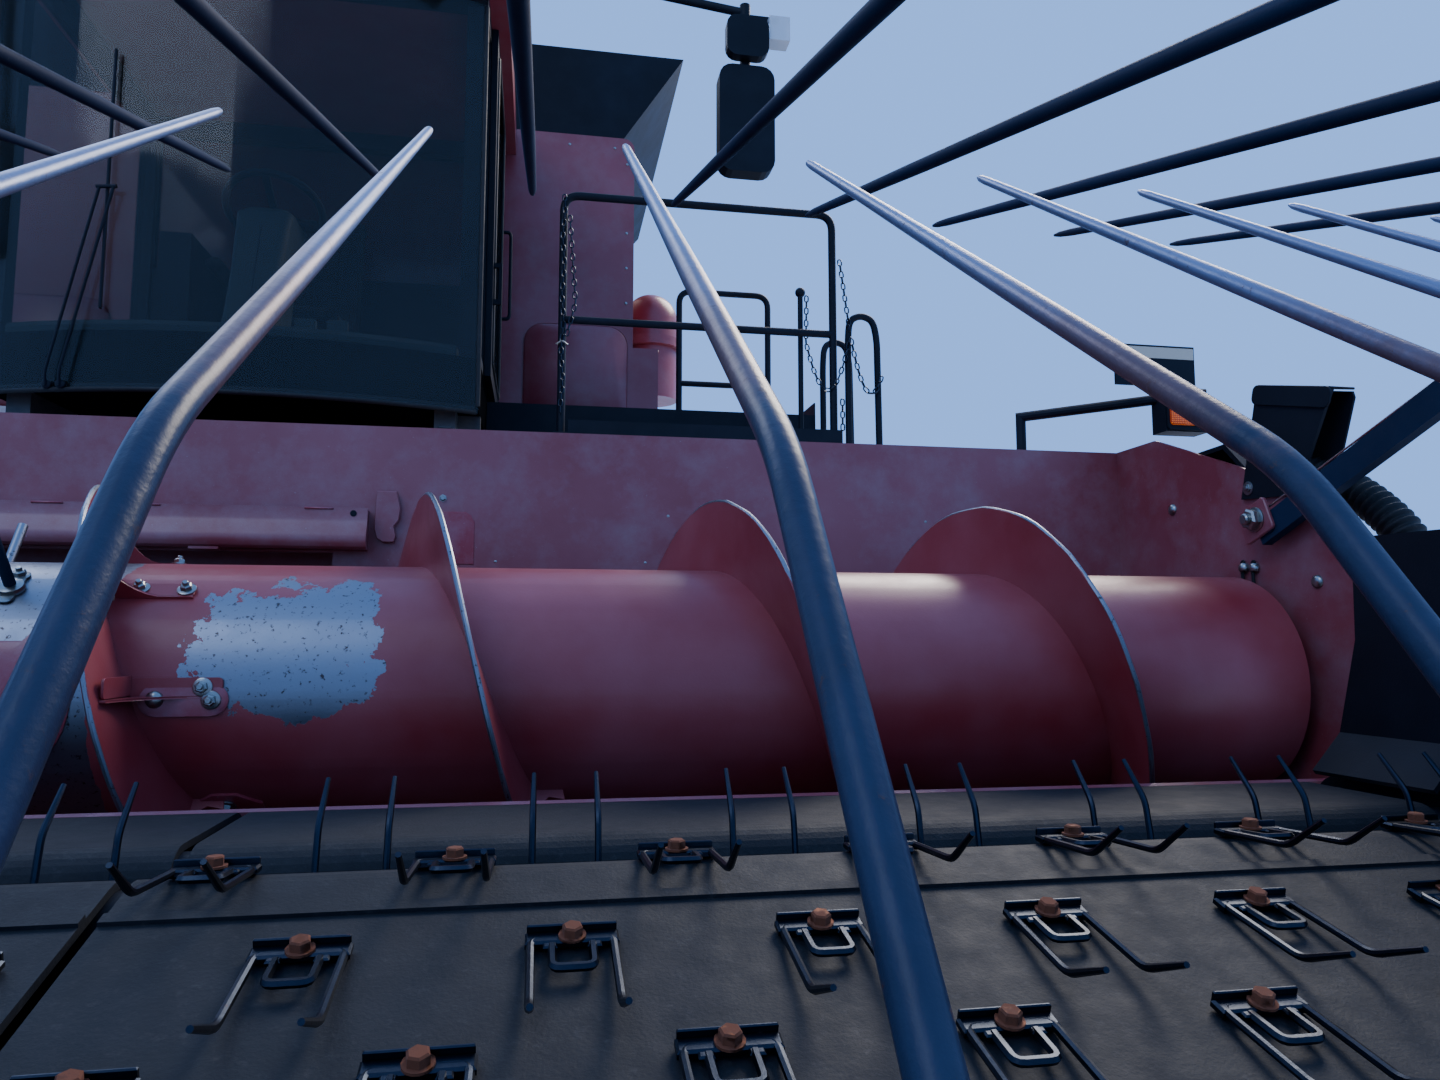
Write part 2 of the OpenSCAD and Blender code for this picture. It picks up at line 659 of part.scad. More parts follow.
module operator_seat() {
    color("dimgray") {
        block([-180, cab_rear_y - 700, cab_floor_z], [180, cab_rear_y - 380, cab_floor_z + 260]);
        block([-250, cab_rear_y - 800, cab_floor_z + 260], [250, cab_rear_y - 290, cab_floor_z + 390]);
        prism_x(-240, 240, [[cab_rear_y - 300, cab_floor_z + 380], [cab_rear_y - 190, cab_floor_z + 1050],
            [cab_rear_y - 110, cab_floor_z + 1050], [cab_rear_y - 170, cab_floor_z + 300],
                [cab_rear_y - 300, cab_floor_z + 300]]);
        block([-330, cab_rear_y - 800, cab_floor_z + 500], [-251, cab_rear_y - 330, cab_floor_z + 580]);
        block([-300, cab_rear_y - 420, cab_floor_z + 300], [-249, cab_rear_y - 330, cab_floor_z + 501]);
    }
}

module steering_console() {
    color("dimgray") {
        prism_x(-90, 90, [[cab_front_y + 170, cab_floor_z], [cab_front_y + 300, cab_floor_z],
            [cab_front_y + 420, cab_floor_z + 640], [cab_front_y + 330, cab_floor_z + 660]]);
        translate([0, cab_front_y + 385, cab_floor_z + 645]) rotate([-28, 0, 0]) {
            rotate_extrude($fn = 48) translate([190, 75]) circle(r = 15, $fn = 16);
            cylinder(h = 75, r = 22, $fn = 24);
            for (a = [0:120:359]) rotate([0, 0, a + 30]) translate([0, -14, 62]) cube([186, 28, 14]);
        }
        // Armrest console on the right of the seat
        block([-470, cab_rear_y - 900, cab_floor_z], [-345, cab_rear_y - 350, cab_floor_z + 620]);
    }
}

mirror_x = 1855;
mirror_y = cab_front_y - 400;
// Outline of a mirror's housing: rounded corners of radius r, from low to high
function rounded_box(low, high, r) = concat(arc(low[0] + r, low[1] + r, r, 180, 270, 4),
    arc(high[0] - r, low[1] + r, r, 270, 360, 4),
    arc(high[0] - r, high[1] - r, r, 0, 90, 4), arc(low[0] + r, high[1] - r, r, 90, 180, 4));
module mirrors() {
    color("dimgray") both() {
        block([960 + seat, cab_front_y - 95, 3355], [972, cab_front_y - 25, 3445]);
        bar([971, cab_front_y - 60, 3400], [mirror_x, mirror_y, 3070], 16);
        bar([mirror_x, mirror_y, 2830], [mirror_x, mirror_y, 3100], 20);
        // Main mirror with a flat glass in its back, and a small wide-angle one above it
        difference() {
            prism_y(mirror_y - 40, mirror_y + 30,
                rounded_box([mirror_x - 105, 2425], [mirror_x + 105, 2840], 50));
            prism_y(mirror_y + 22, mirror_y + 31,
                rounded_box([mirror_x - 85, 2445], [mirror_x + 85, 2820], 35));
        }
        prism_y(mirror_y - 60, mirror_y - 15,
            rounded_box([mirror_x - 80, 2865], [mirror_x + 80, 3025], 40));
        block([mirror_x + 15, mirror_y - 8, 3045], [mirror_x + 130, mirror_y + 8, 3061]);
    }
}

// Lamps in the roof's front edge and on the mirror arms, and the rear lamps
module work_lamps() {
    color("gainsboro") both() {
        for (lamp = [[260, 245], [560, 185]])
            block([lamp[0], cab_front_y - lamp[1], 3250],
                [lamp[0] + 190, cab_front_y - lamp[1] + 72, cab_top_z - seat]);
        block([mirror_x + 85, mirror_y - 45, 2950], [mirror_x + 165, mirror_y + 25, 3045 - seat]);
        block([1430, body_end_y + seat, 2060], [1640, body_end_y + 50, 2150]);
    }
}

// Platform along the cab's left side: over the tyre, with a lower landing ahead of it
rail_y = cab_front_y + 200;
platform_x1 = 2400;
module platform() {
    color("dimgray") {
        block([cab_x + seat, landing_y0, landing_z - platform_t],
            [platform_x1, landing_y1 + 1, landing_z]);
        block([cab_x + seat, landing_y1, landing_z - platform_t],
            [platform_x1, landing_y1 + 20, platform_z]);
        block([cab_x + seat, landing_y1, platform_z - platform_t],
            [platform_x1, front_axle_y - seat, platform_z]);
        // Kick plates along the outer edges
        block([platform_x1 - 6, landing_y1 + 1, platform_z - 1],
            [platform_x1, front_axle_y - 1, platform_z + 60]);
        block([1230, landing_y0, landing_z - 1], [platform_x1, landing_y0 + 6, landing_z + 60]);
    }
}

module handrails() {
    color("dimgray") {
        r = 17;
        z0 = landing_z + seat;
        back_y = front_axle_y - 50;
        rail([[1200, rail_y, z0], [1200, rail_y, 2570], [2370, rail_y, 2570], [2370, rail_y, z0]], r);
        rail([[1200, rail_y, 2030], [2370, rail_y, 2030]], r);
        rail([[1860, back_y, platform_z + seat], [1860, back_y, 2620], [2360, back_y, 2620],
            [2360, back_y, platform_z + seat]], r);
        rail([[1860, back_y, 2100], [2360, back_y, 2100]], r);
        // Grab post with a ball on top
        bar([2240, rail_y + 60, z0], [2240, rail_y + 60, 2230], 12);
        translate([2240, rail_y + 60, 2230]) sphere(r = 24, $fn = 24);
        // Safety chain from the grab post to the front rail
        sweep([for (p = arc(2305, 2200, 68, 180, 360, 6))
            [p[0], rail_y + 60 - (p[0] - 2237) * 0.44, p[1] - 90]], [0, 1, 0], 5, 6);
        bar([2237, rail_y + 60, 2108], [2237, rail_y + 60, 2112], 9);
    }
}

ladder_y0 = landing_y0;
ladder_y1 = landing_y0 + 400;
module ladder() {
    color("dimgray") {
        for (y = [ladder_y0, ladder_y1 - 10])
            prism_y(y, y + 10, [[platform_x1 + seat, landing_z - 110], [platform_x1 + seat, landing_z],
                [platform_x1 + 60, landing_z],
                [2590, 520], [2590, 450], [2500, 450]]);
        for (i = [0:3]) let(z = 480 + i * 265, x = 2588 - (z - 450) * 0.12)
            block([x - 130, ladder_y0 + 9, z], [x, ladder_y1 - 9, z + 30]);
        for (y = [ladder_y0 + 5, ladder_y1 - 5])
            sweep([[2430, y, 1480], [2430, y, 2000], [2445, y, 2080], [2490, y, 2115], [2540, y, 2085],
                [2560, y, 2020],
                [2575, y, 700]], [0, 1, 0], 15);
    }
}

// Unloading auger: fixed elbow on the tank's side, folded tube that swings about the upright
unload_x = 1850;
unload_y = front_axle_y + 1300;
unload_len = 3300;
unload_r = 180;
unload_z = 2880;
unload_split_z = 2700;
module unloading_elbow() {
    color("firebrick") difference() {
        union() {
            shaft_x(tank_x, unload_x, unload_y, 2500, unload_r);
            translate([unload_x, unload_y, 2500 - unload_r]) cylinder(h = unload_split_z - 2500
                + unload_r, r = unload_r);
            translate([unload_x, unload_y, unload_split_z - 30]) cylinder(h = 30, r = unload_r + 35);
        }
        translate([unload_x, unload_y, 2400]) cylinder(h = 400, r = unload_r - 10);
    }
}

module unloading_tube() {
    color("firebrick") translate([unload_x, unload_y, 0]) {
        translate([0, 0, unload_split_z + 0.5]) cylinder(h = 30, r = unload_r + 35);
        difference() {
            union() {
                translate([0, 0, unload_split_z + 30]) cylinder(h = unload_z - unload_split_z - 30,
                    r = unload_r);
                translate([0, 0, unload_z]) sphere(r = unload_r);
                translate([0, 0, unload_z]) rotate([-90, 0, 0]) cylinder(h = unload_len, r = unload_r);
            }
            translate([0, 300, unload_z]) rotate([-90, 0, 0]) cylinder(h = unload_len, r = unload_r - 8);
        }
        // Rubber spout at the end
        translate([0, unload_len, unload_z]) rotate([-90, 0, 0]) difference() {
            cylinder(h = 150, r = unload_r + 12);
            translate([0, 0, -1]) cylinder(h = 160, r = unload_r - 8);
        }
    }
}

// Feeder house, about its upper pivot
feeder_x = 650;
feeder_r = 265;
feeder_h = 240;
feeder_front_y = auger_y + 570;
feeder_a = atan((pivot_z - auger_z) / (pivot_y - feeder_front_y));
lift_rod_y = front_axle_y - 1650;
lift_rod_z = 655;
ear_gap = 6;
function feeder_line(y) = pivot_z - (pivot_y - y) * tan(feeder_a);
function feeder_bottom(y) = feeder_line(y) - (feeder_h + (feeder_r - feeder_h) * (y - feeder_front_y)
    / (pivot_y - feeder_front_y)) / cos(feeder_a);
function feeder_profile(t) = concat(arc(pivot_y, pivot_z, feeder_r - t, feeder_a - 90, feeder_a + 90, 12),
    [[feeder_front_y - t, auger_z + (feeder_h - t) / cos(feeder_a)],
     [feeder_front_y - t, auger_z - (feeder_h - t) / cos(feeder_a)]]);

module feeder_house() {
    color("firebrick") {
        difference() {
            prism_x(-feeder_x, feeder_x, feeder_profile(0));
            prism_x(-feeder_x + 10, feeder_x - 10, feeder_profile(10));
            block([-feeder_x + 40, pivot_y, pivot_z - 160],
                [feeder_x - 40, pivot_y + feeder_r + 1, pivot_z + 150]);
        }
        // Stiffening bars across its top
        for (t = [0.12, 0.3, 0.62]) let(y = feeder_front_y + t * (pivot_y - feeder_front_y))
            translate([0, y, feeder_line(y)]) rotate([feeder_a, 0, 0])
                block([-feeder_x, -20, feeder_h + (feeder_r - feeder_h) * t - 6],
                    [feeder_x, 20, feeder_h + (feeder_r - feeder_h) * t + 25]);
        both() {
            shaft_x(feeder_x - 1, frame_x1 - 2, pivot_y, pivot_z, pivot_r);
            difference() {
                for (x = [lift_x - 65, lift_x + 40]) prism_x(x, x + 25, concat([
                    [lift_rod_y - 75, feeder_bottom(lift_rod_y - 75) + 4],
                        [lift_rod_y + 75, feeder_bottom(lift_rod_y + 75) + 4]],
                    arc(lift_rod_y, lift_rod_z, 48, 0, -180, 8)));
                shaft_x(lift_x - 70, lift_x + 70, lift_rod_y, lift_rod_z, lift_pin_r + ear_gap, 32);
            }
        }
    }
}

// Lift cylinders
lift_len = norm([lift_rod_y - lift_base_y, lift_rod_z - lift_base_z]);
function lift_at(s) = [0, lift_base_y + (lift_rod_y - lift_base_y) * s / lift_len,
    lift_base_z + (lift_rod_z - lift_base_z) * s / lift_len];
barrel_len = 1060;
module lift_barrels() {
    color("dimgray") both() {
        difference() {
            union() {
                translate([lift_x, 0, 0]) bar(lift_at(75), lift_at(barrel_len), 48, 48);
                translate([lift_x, 0, 0]) bar(lift_at(0), lift_at(80), 34, 48);
            }
            translate([lift_x, 0, 0]) bar(lift_at(100), lift_at(barrel_len - 30), 38, 48);
            translate([lift_x, 0, 0]) bar(lift_at(100), lift_at(barrel_len + 1), 28 + 0.5, 48);
        }
        shaft_x(lift_x - 38, lift_x + 38, lift_base_y, lift_base_z, 45);
        shaft_x(lift_x - 68, lift_x + 68, lift_base_y, lift_base_z, lift_pin_r);
    }
}

module lift_rods() {
    color("gainsboro") both() {
        translate([lift_x, 0, 0]) bar(lift_at(300), lift_at(lift_len - 10), 28, 48);
        shaft_x(lift_x - 38, lift_x + 38, lift_rod_y, lift_rod_z, 40);
        shaft_x(lift_x - 68, lift_x + 68, lift_rod_y, lift_rod_z, lift_pin_r);
    }
}

// Header: trough, back sheet and end sheets
flight_clear = 20;
trough_r = flight_clear + auger_flight_r;
beam_y0 = auger_y + 420;
beam_y1 = auger_y + 550;
beam_z0 = 1000;
beam_z1 = 1150;
end_in_x = header_x - sheet_t;
throat_top_z = 880;
guard_pivot_y = auger_y - 127;
guard_pivot_z = 913;
guard_pin_r = 15;
auger_stub_r = 40;
deck_top_z = 485;
deck_roller_r = 34;
float_pin_r = 20;
deck_y1 = auger_y - 400;
deck_roller_z = deck_top_z - belt_t - deck_roller_r;
// An end sheet's outline: along the beam's top, down to the windguard's pivot, round the auger, and out
// to the pickup's pin
function end_outline() = concat([[beam_y1, beam_z1], [auger_y + 260, beam_z1], [auger_y - 20, 1040],
    [auger_y - 165, 965],
    [auger_y - 185, 920]], arc(auger_y, auger_z, 350, 130, 188, 8),
        [[auger_y - 440, 500], [auger_y - 450, 400],
    [auger_y - 430, 260], [auger_y - 350, 180], [beam_y1, 180]]);

module header_shell() {
    color("firebrick") {
        difference() {
            prism_x(-end_in_x, end_in_x, concat(arc(auger_y, auger_z, trough_r, -156, -10, 20),
                [[beam_y0 - sheet_t, auger_z + 40], [beam_y0 - sheet_t, beam_z1], [beam_y0, beam_z1],
                    [beam_y0, auger_z + 38]],
                arc(auger_y, auger_z, trough_r + sheet_t, -10, -156, 20)));
            block([-throat_x, auger_y + 200, auger_z - 240], [throat_x, beam_y0 + 1, throat_top_z]);
        }
        // Folded bar over the opening into the feeder house
        prism_x(-770, 770, [[beam_y0, 885], [beam_y0 - 40, 885], [beam_y0 - 55, 905],
            [beam_y0 - 55, 960], [beam_y0 - 45, 968],
            [beam_y0, 968]]);
        // Floor strip into the feeder house
        block([-throat_x, auger_y + 258, auger_z - 248], [throat_x, beam_y1, auger_z - 240]);
        both() difference() {
            prism_x(end_in_x, header_x, end_outline());
            shaft_x(end_in_x - 1, header_x + 1, auger_y, auger_z, auger_stub_r + pin_gap);
            shaft_x(end_in_x - 1, header_x + 1, guard_pivot_y, guard_pivot_z, guard_pin_r + pin_gap, 32);
            shaft_x(end_in_x - 1, header_x + 1, deck_y1, deck_roller_z, float_pin_r + pin_gap, 32);
        }
    }
}

// Upright ribs between the trough and the tubes behind it
module header_ribs() {
    color("firebrick") both() for (x = [950, 1400, 1850, 2250])
        prism_x(x, x + 8, concat(arc(auger_y, auger_z, (trough_r + sheet_t) / cos(3.25) + seat, -150, -20,
            20),
            [[beam_y0 + 10 - seat, auger_z - 130], [beam_y0 + 10 - seat, 200], [auger_y - 180, 200]]));
}

module header_beam() {
    color("firebrick") {
        block([-end_in_x, beam_y0, beam_z0], [end_in_x, beam_y1, beam_z1]);
        block([-end_in_x, beam_y0 + 10, 180], [end_in_x, beam_y1, 300]);
        both() {
            block([throat_x, beam_y0, 300], [throat_x + 60, beam_y1, beam_z0]);
            block([end_in_x - 60, beam_y0, 300], [end_in_x, beam_y1, beam_z0]);
        }
        // Face frame that the feeder house is bolted to
        difference() {
            block([-throat_x - 60, beam_y1, 280], [throat_x + 60, feeder_front_y, beam_z0 + 20]);
            block([-feeder_x + 10, beam_y1 - 1, auger_z - 237],
                [feeder_x - 10, feeder_front_y + 1, auger_z + 237]);
        }
    }
}

module header_shields() {
    color("dimgray") both() {
        difference() {
            prism_x(header_x, header_x + 90, [[beam_y1, 1080], [auger_y + 40, 1100], [auger_y - 60, 1000],
                [auger_y + 20, 820], [auger_y - 200, 760], [auger_y - 300, 560], [auger_y - 300, 300],
                    [beam_y1, 240]]);
            prism_x(header_x - 1, header_x + 82,
                [[beam_y1 - 10, 1070], [auger_y + 45, 1090], [auger_y - 48, 998],
                [auger_y + 30, 812], [auger_y - 190, 750], [auger_y - 290, 556], [auger_y - 290, 310],
                    [beam_y1 - 10, 250]]);
        }
        // Folded stop beside each windguard arm
        prism_x(end_in_x - seat - 6, end_in_x - seat,
            [[auger_y - 20, 976], [auger_y - 78, 1189], [auger_y - 262, 1140], [auger_y - 165, 965]]);
    }
}

module header_lamps() {
    lamp_y = auger_y + 250;
    foot = [2280, beam_y0 + 60];
    reach = [2505, lamp_y] - foot;
    color("gold") both() {
        sweep([[foot[0], foot[1], beam_z1 + seat], [foot[0], foot[1], 1245], [2505, lamp_y, 1245]],
            [-reach[1], reach[0], 0] / norm(reach), 12, 12);
        block([2495, lamp_y - 30, 1165], [2600, lamp_y + 20, 1265]);
        block([2395, lamp_y, 1275], [2595, lamp_y + 5, 1370]);
        block([2540, lamp_y, 1264], [2570, lamp_y + 5, 1276]);
    }
}

// Cross auger
module auger_tube() {
    color("firebrick") {
        shaft_x(-header_x + 40, header_x - 40, auger_y, auger_z, auger_tube_r, 96);
        shaft_x(-header_x + 1, header_x - 1, auger_y, auger_z, auger_stub_r);
        // Feeding fingers in the middle
        for (i = [0:11]) let(a = 150 * i, x = -286 + 52 * i)
            bar([x, auger_y + 190 * cos(a), auger_z + 190 * sin(a)],
                [x, auger_y + (auger_flight_r - 8) * cos(a), auger_z + (auger_flight_r - 8) * sin(a)], 8,
                    16);
    }
}

// One flight: a helical sheet from the inner end outward, the hand that moves the crop to the middle
flight_steps = 20;
flight_start_a = -43;
module flight() {
    turns = (flight_end_x - flight_start_x) / flight_pitch;
    n = floor(turns * flight_steps);
    r0 = (auger_tube_r + 0.2) / cos(180 / flight_steps);
    function p(i, r, x) = [flight_start_x + flight_pitch * i / flight_steps + x,
        auger_y - r * sin(flight_start_a + 360 * i / flight_steps),
            auger_z + r * cos(flight_start_a + 360 * i / flight_steps)];
    points = [for (i = [0:n]) for (c = [[r0, 0], [auger_flight_r, 0], [auger_flight_r, flight_t],
        [r0, flight_t]]) p(i, c[0], c[1])];
    sides = [for (i = [0:n - 1]) for (k = [0:3]) let(a = 4 * i + k, b = 4 * i + (k + 1) % 4)
        each [[a, a + 4, b], [b, a + 4, b + 4]]];
    polyhedron(points, concat([[0, 1, 2], [0, 2, 3]], sides,
        [[4 * n, 4 * n + 2, 4 * n + 1], [4 * n, 4 * n + 3, 4 * n + 2]]),
        convexity = 10);
}

module auger_flights() {
    color("silver") both() flight();
}

// Pickup: draper belts on rollers, floating about the rear roller of the transfer deck
cam_y = auger_y - 1760;
deck_y0 = deck_y1 - 190;
belt_roller_r = 50;
belt_y1 = cam_y + 1000;
belt_z1 = deck_top_z - belt_t - belt_roller_r;
belt_len = 1080;
belt_y0 = belt_y1 - belt_len * cos(pickup_slope);
belt_z0 = belt_z1 - belt_len * sin(pickup_slope);
pickup_x = 2330;
roller_gap = 0.6;
function stadium(y0, z0, y1, z1, r) = let(a = atan2(z0 - z1, y0 - y1))
    concat(arc(y1, z1, r, a + 90, a + 270, 16), arc(y0, z0, r, a - 90, a + 90, 16));

module pickup_frame() {
    color("dimgray") {
        both() {
            difference() {
                hull() {
                    shaft_x(pickup_x, pickup_x + 8, deck_y1, deck_roller_z, 50, 32);
                    shaft_x(pickup_x, pickup_x + 8, belt_y1, belt_z1, 62, 32);
                }
            }
            hull() {
                shaft_x(pickup_x, pickup_x + 8, belt_y1, belt_z1, 62, 32);
                shaft_x(pickup_x, pickup_x + 8, belt_y0, belt_z0, 50, 32);
            }
            // Side shield that keeps the crop on the belts, with its flange down to the belt's edge
            prism_x(pickup_x + 7, pickup_x + 13,
                [[deck_y1 - 45, 855], [deck_y1 - 40, 700], [deck_y1, 560], [deck_y1 + 15, 450],
                [deck_y1 - 250, 430],
                [cam_y + 570, 320], [cam_y + 570, 640], [cam_y + 700, 800], [cam_y + 900, 845]]);
            prism_y(deck_y0 - 20, deck_y1, [[pickup_x + 8, 560], [pickup_x + 8, 552], [2290, 497],
                [2285, 503]]);
            // Gauge wheel arm and axle
            block([pickup_x + 7, gauge_y - 30, gauge_r - 30],
                [pickup_x + 25, gauge_y + 30, belt_z1 - 100]);
            shaft_x(pickup_x + 20, gauge_x1 - 5, gauge_y, gauge_r, 20);
        }
        shaft_x(-pickup_x - 1, pickup_x + 1, belt_y1, belt_z1, belt_roller_r - roller_gap);
        shaft_x(-pickup_x - 1, pickup_x + 1, belt_y0, belt_z0, belt_roller_r - roller_gap);
        shaft_x(-pickup_x - 1, pickup_x + 1, deck_y0, deck_roller_z, deck_roller_r - roller_gap);
        shaft_x(-pickup_x - 9, pickup_x + 9, deck_y1, deck_roller_z, deck_roller_r - roller_gap);
        shaft_x(-header_x + 1, header_x - 1, deck_y1, deck_roller_z, float_pin_r, 32);
    }
}

module pickup_belts() {
    color("dimgray") for (k = [-1:1]) translate([k * belt_step - belt_w / 2, 0, 0]) {
        // Splice across the belt
        translate([0, belt_y1 - 55 * cos(pickup_slope), belt_z1 - 55 * sin(pickup_slope)])
            rotate([pickup_slope, 0, 0])
            block([0, -7, belt_roller_r + 1], [belt_w, 7, belt_roller_r + belt_t + 4]);
        difference() {
            prism_x(0, belt_w, stadium(belt_y0, belt_z0, belt_y1, belt_z1, belt_roller_r + belt_t));
            prism_x(-1, belt_w + 1, stadium(belt_y0, belt_z0, belt_y1, belt_z1, belt_roller_r));
        }
        difference() {
            prism_x(0, belt_w, stadium(deck_y0, deck_roller_z, deck_y1, deck_roller_z,
                deck_roller_r + belt_t));
            prism_x(-1, belt_w + 1, stadium(deck_y0, deck_roller_z, deck_y1, deck_roller_z,
                deck_roller_r));
        }
    }
}

// A tine: a U of flat bar whose legs point down the belt and stand off it, with a tongue in its middle
tine_leg = 88;
module tine() {
    outline = [[-40, 0], [40, 0], [40, tine_leg], [33, tine_leg], [33, 8], [-33, 8], [-33, tine_leg],
        [-40, tine_leg]];
    rotate([-16, 0, 0]) rotate([0, 0, 180]) linear_extrude(7) polygon(outline);
}

// Place and slope of the point at distance s round the belt, from the rear roller's top down to the front
belt_out_r = belt_roller_r + belt_t;
half_turn = PI * belt_out_r;
function belt_at(s) = s < belt_len ? [belt_y1 - s * cos(pickup_slope), belt_z1 - s * sin(pickup_slope),
    pickup_slope]
    : s < belt_len + half_turn ? [belt_y0, belt_z0, pickup_slope + 180 * (s - belt_len) / half_turn]
    : s < 2 * belt_len + half_turn ? let(b = s - belt_len - half_turn)
        [belt_y0 + b * cos(pickup_slope), belt_z0 + b * sin(pickup_slope), pickup_slope + 180]
    : [belt_y1, belt_z1, pickup_slope + 180 + 180 * (s - 2 * belt_len - half_turn) / half_turn];
tine_step = (belt_w - 238) / 6;

module pickup_tines() {
    color("darkslategray") for (k = [-1:1], row = [0:tine_rows - 1], j = [-3:3]) {
        b = belt_at(row * (2 * belt_len + 2 * half_turn) / tine_rows);
        translate([k * belt_step + (j + (row % 2) / 2 - 0.25) * tine_step, b[0], b[1]])
            rotate([b[2], 0, 0])
            translate([0, 0, belt_out_r + seat]) tine();
    }
}

gauge_r = 200;
gauge_w = 110;
gauge_x1 = 2480;
gauge_y = cam_y + 400;
module gauge_wheel() {
    color("dimgray") translate([gauge_x1 - gauge_w, gauge_y, gauge_r]) rotate([0, 90, 0])
        rotate_extrude($fn = 64)
        polygon([[20 + pin_gap, 0], [50, 0], [60, 30], [110, 30], [120, 5], [gauge_r - 25, 0],
            [gauge_r, 18], [gauge_r, gauge_w - 18],
            [gauge_r - 25, gauge_w], [120, gauge_w - 5], [110, gauge_w - 30], [60, gauge_w - 30],
                [50, gauge_w - 12], [20 + pin_gap, gauge_w - 12]]);
}

// Windguard: cranked arms on the header's ends, a cross tube and two rows of rods
guard_tube_y = cam_y - 360;
guard_tube_z = 770;
guard_arm_x = header_x - 32;
module windguard() {
    color("slategray") {
        both() {
            shaft_x(guard_arm_x - 14, header_x + 4, guard_pivot_y, guard_pivot_z, guard_pin_r, 32);
            prism_x(guard_arm_x - 10, guard_arm_x + 10, band([[guard_pivot_y + 30, guard_pivot_z - 13],
                [cam_y + 780, 1275], [cam_y + 720, 1280], [cam_y + 540, 1240],
                    [guard_tube_y, guard_tube_z]], 24));
        }
        shaft_x(-guard_arm_x - 20, guard_arm_x + 20, guard_tube_y, guard_tube_z, guard_tube_r);
    }
}

// Straight rods over the pickup, and rods that come down in front of it, turn under and rise again.
// Each is a piece of its own, seated on the cross tube.
module windguard_rods() {
    color("slategray") for (k = [-10:10]) {
        x2 = k * guard_rod_step - 50;
        bar([x2, guard_tube_y, guard_tube_z + guard_tube_r + 7.9], [x2, cam_y + 1590, 1422], guard_rod_r,
            16);
        x1 = k * guard_rod_step + 65;
        jr = 270;
        jz = 623;
        sweep(concat([[x1, guard_tube_y, guard_tube_z - guard_tube_r - 0.5]],
            [for (a = arc(guard_tube_y + jr, jz, jr, 180, 321, 6)) [x1, a[0], a[1]]],
            [[x1, cam_y + 381, 776], [x1, cam_y + 1167, 1300]]), [1, 0, 0], guard_rod_r, 6);
    }
}

main_frame();
front_axle();
rear_axle();
separator_body();
side_panel();  // side_panel_left
mirror([1, 0, 0]) side_panel();  // side_panel_right
grain_tank();
tank_extension();
tank_auger();
engine_hood();
engine_block();
rear_hood();
exhaust();
cab_base();
cab_frame();
cab_roof();
windscreen();
cab_windows();
cab_door();
door_glass();
operator_seat();
steering_console();
mirrors();
work_lamps();
platform();
handrails();
ladder();
unloading_elbow();
unloading_tube();
straw_chopper();
spreader();  // spreader_left
mirror([1, 0, 0]) spreader();  // spreader_right
at_front_wheel() tyre(front_tyre_r, front_tyre_w,  // front_tyre_left
    front_rim_r, front_lug_h);
front_rim();  // front_rim_left
mirror([1, 0, 0]) at_front_wheel() tyre(front_tyre_r, front_tyre_w, front_rim_r, front_lug_h);  // front_tyre_right
mirror([1, 0, 0]) front_rim();  // front_rim_right
knuckle();  // knuckle_left
mirror([1, 0, 0]) knuckle();  // knuckle_right
tie_rod();
at_rear_wheel() tyre(rear_tyre_r, rear_tyre_w, rear_rim_r,  // rear_tyre_left
    rear_lug_h);
rear_rim();  // rear_rim_left
mirror([1, 0, 0]) at_rear_wheel() tyre(rear_tyre_r, rear_tyre_w, rear_rim_r, rear_lug_h);  // rear_tyre_right
mirror([1, 0, 0]) rear_rim();  // rear_rim_right
feeder_house();
lift_barrels();
lift_rods();
header_shell();
header_ribs();
header_beam();
header_shields();
header_lamps();
auger_tube();
auger_flights();
pickup_frame();
pickup_belts();
pickup_tines();
gauge_wheel();  // gauge_wheel_left
mirror([1, 0, 0]) gauge_wheel();  // gauge_wheel_right
windguard();
windguard_rods();
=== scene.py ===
# %% [markdown]
# A combine harvester with its belt pickup header. The solids come from CAD: this script gives
# them their finishes and adds what is too fine for solids, such as spring tines, chains and
# bolts. Lengths are in metres, +Z is up, the machine faces -Y and its left side is +X.

# %% Setup
import math

import bpy
import numpy as np
from mathutils import Matrix


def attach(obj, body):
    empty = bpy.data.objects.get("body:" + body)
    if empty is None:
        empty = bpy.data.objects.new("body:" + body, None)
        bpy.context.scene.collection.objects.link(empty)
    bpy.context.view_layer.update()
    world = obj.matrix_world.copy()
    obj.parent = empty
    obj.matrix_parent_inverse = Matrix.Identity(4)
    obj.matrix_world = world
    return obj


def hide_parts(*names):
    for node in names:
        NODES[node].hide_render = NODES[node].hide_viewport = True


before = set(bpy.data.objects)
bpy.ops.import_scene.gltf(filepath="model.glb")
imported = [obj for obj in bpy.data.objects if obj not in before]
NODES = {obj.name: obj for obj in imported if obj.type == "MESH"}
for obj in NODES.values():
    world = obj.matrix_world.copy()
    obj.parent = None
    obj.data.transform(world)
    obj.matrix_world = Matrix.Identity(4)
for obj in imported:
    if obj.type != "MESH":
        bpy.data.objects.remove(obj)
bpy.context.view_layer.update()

# %% [markdown]
# The same few lengths that the solids are set out by. The auger's axis is the header's own
# datum, and the camera of the photograph stood 1.76 m ahead of it.

# %% Lengths
FRONT_AXLE_Y = 0.45
AUGER_Y = FRONT_AXLE_Y - 3.6
AUGER_Z = 0.62
AUGER_R = 0.203
FLIGHT_R = 0.33
PITCH = 0.5
CAM_Y = AUGER_Y - 1.76
BEAM_Y = AUGER_Y + 0.42
print("auger at", AUGER_Y, AUGER_Z, "camera at", CAM_Y)

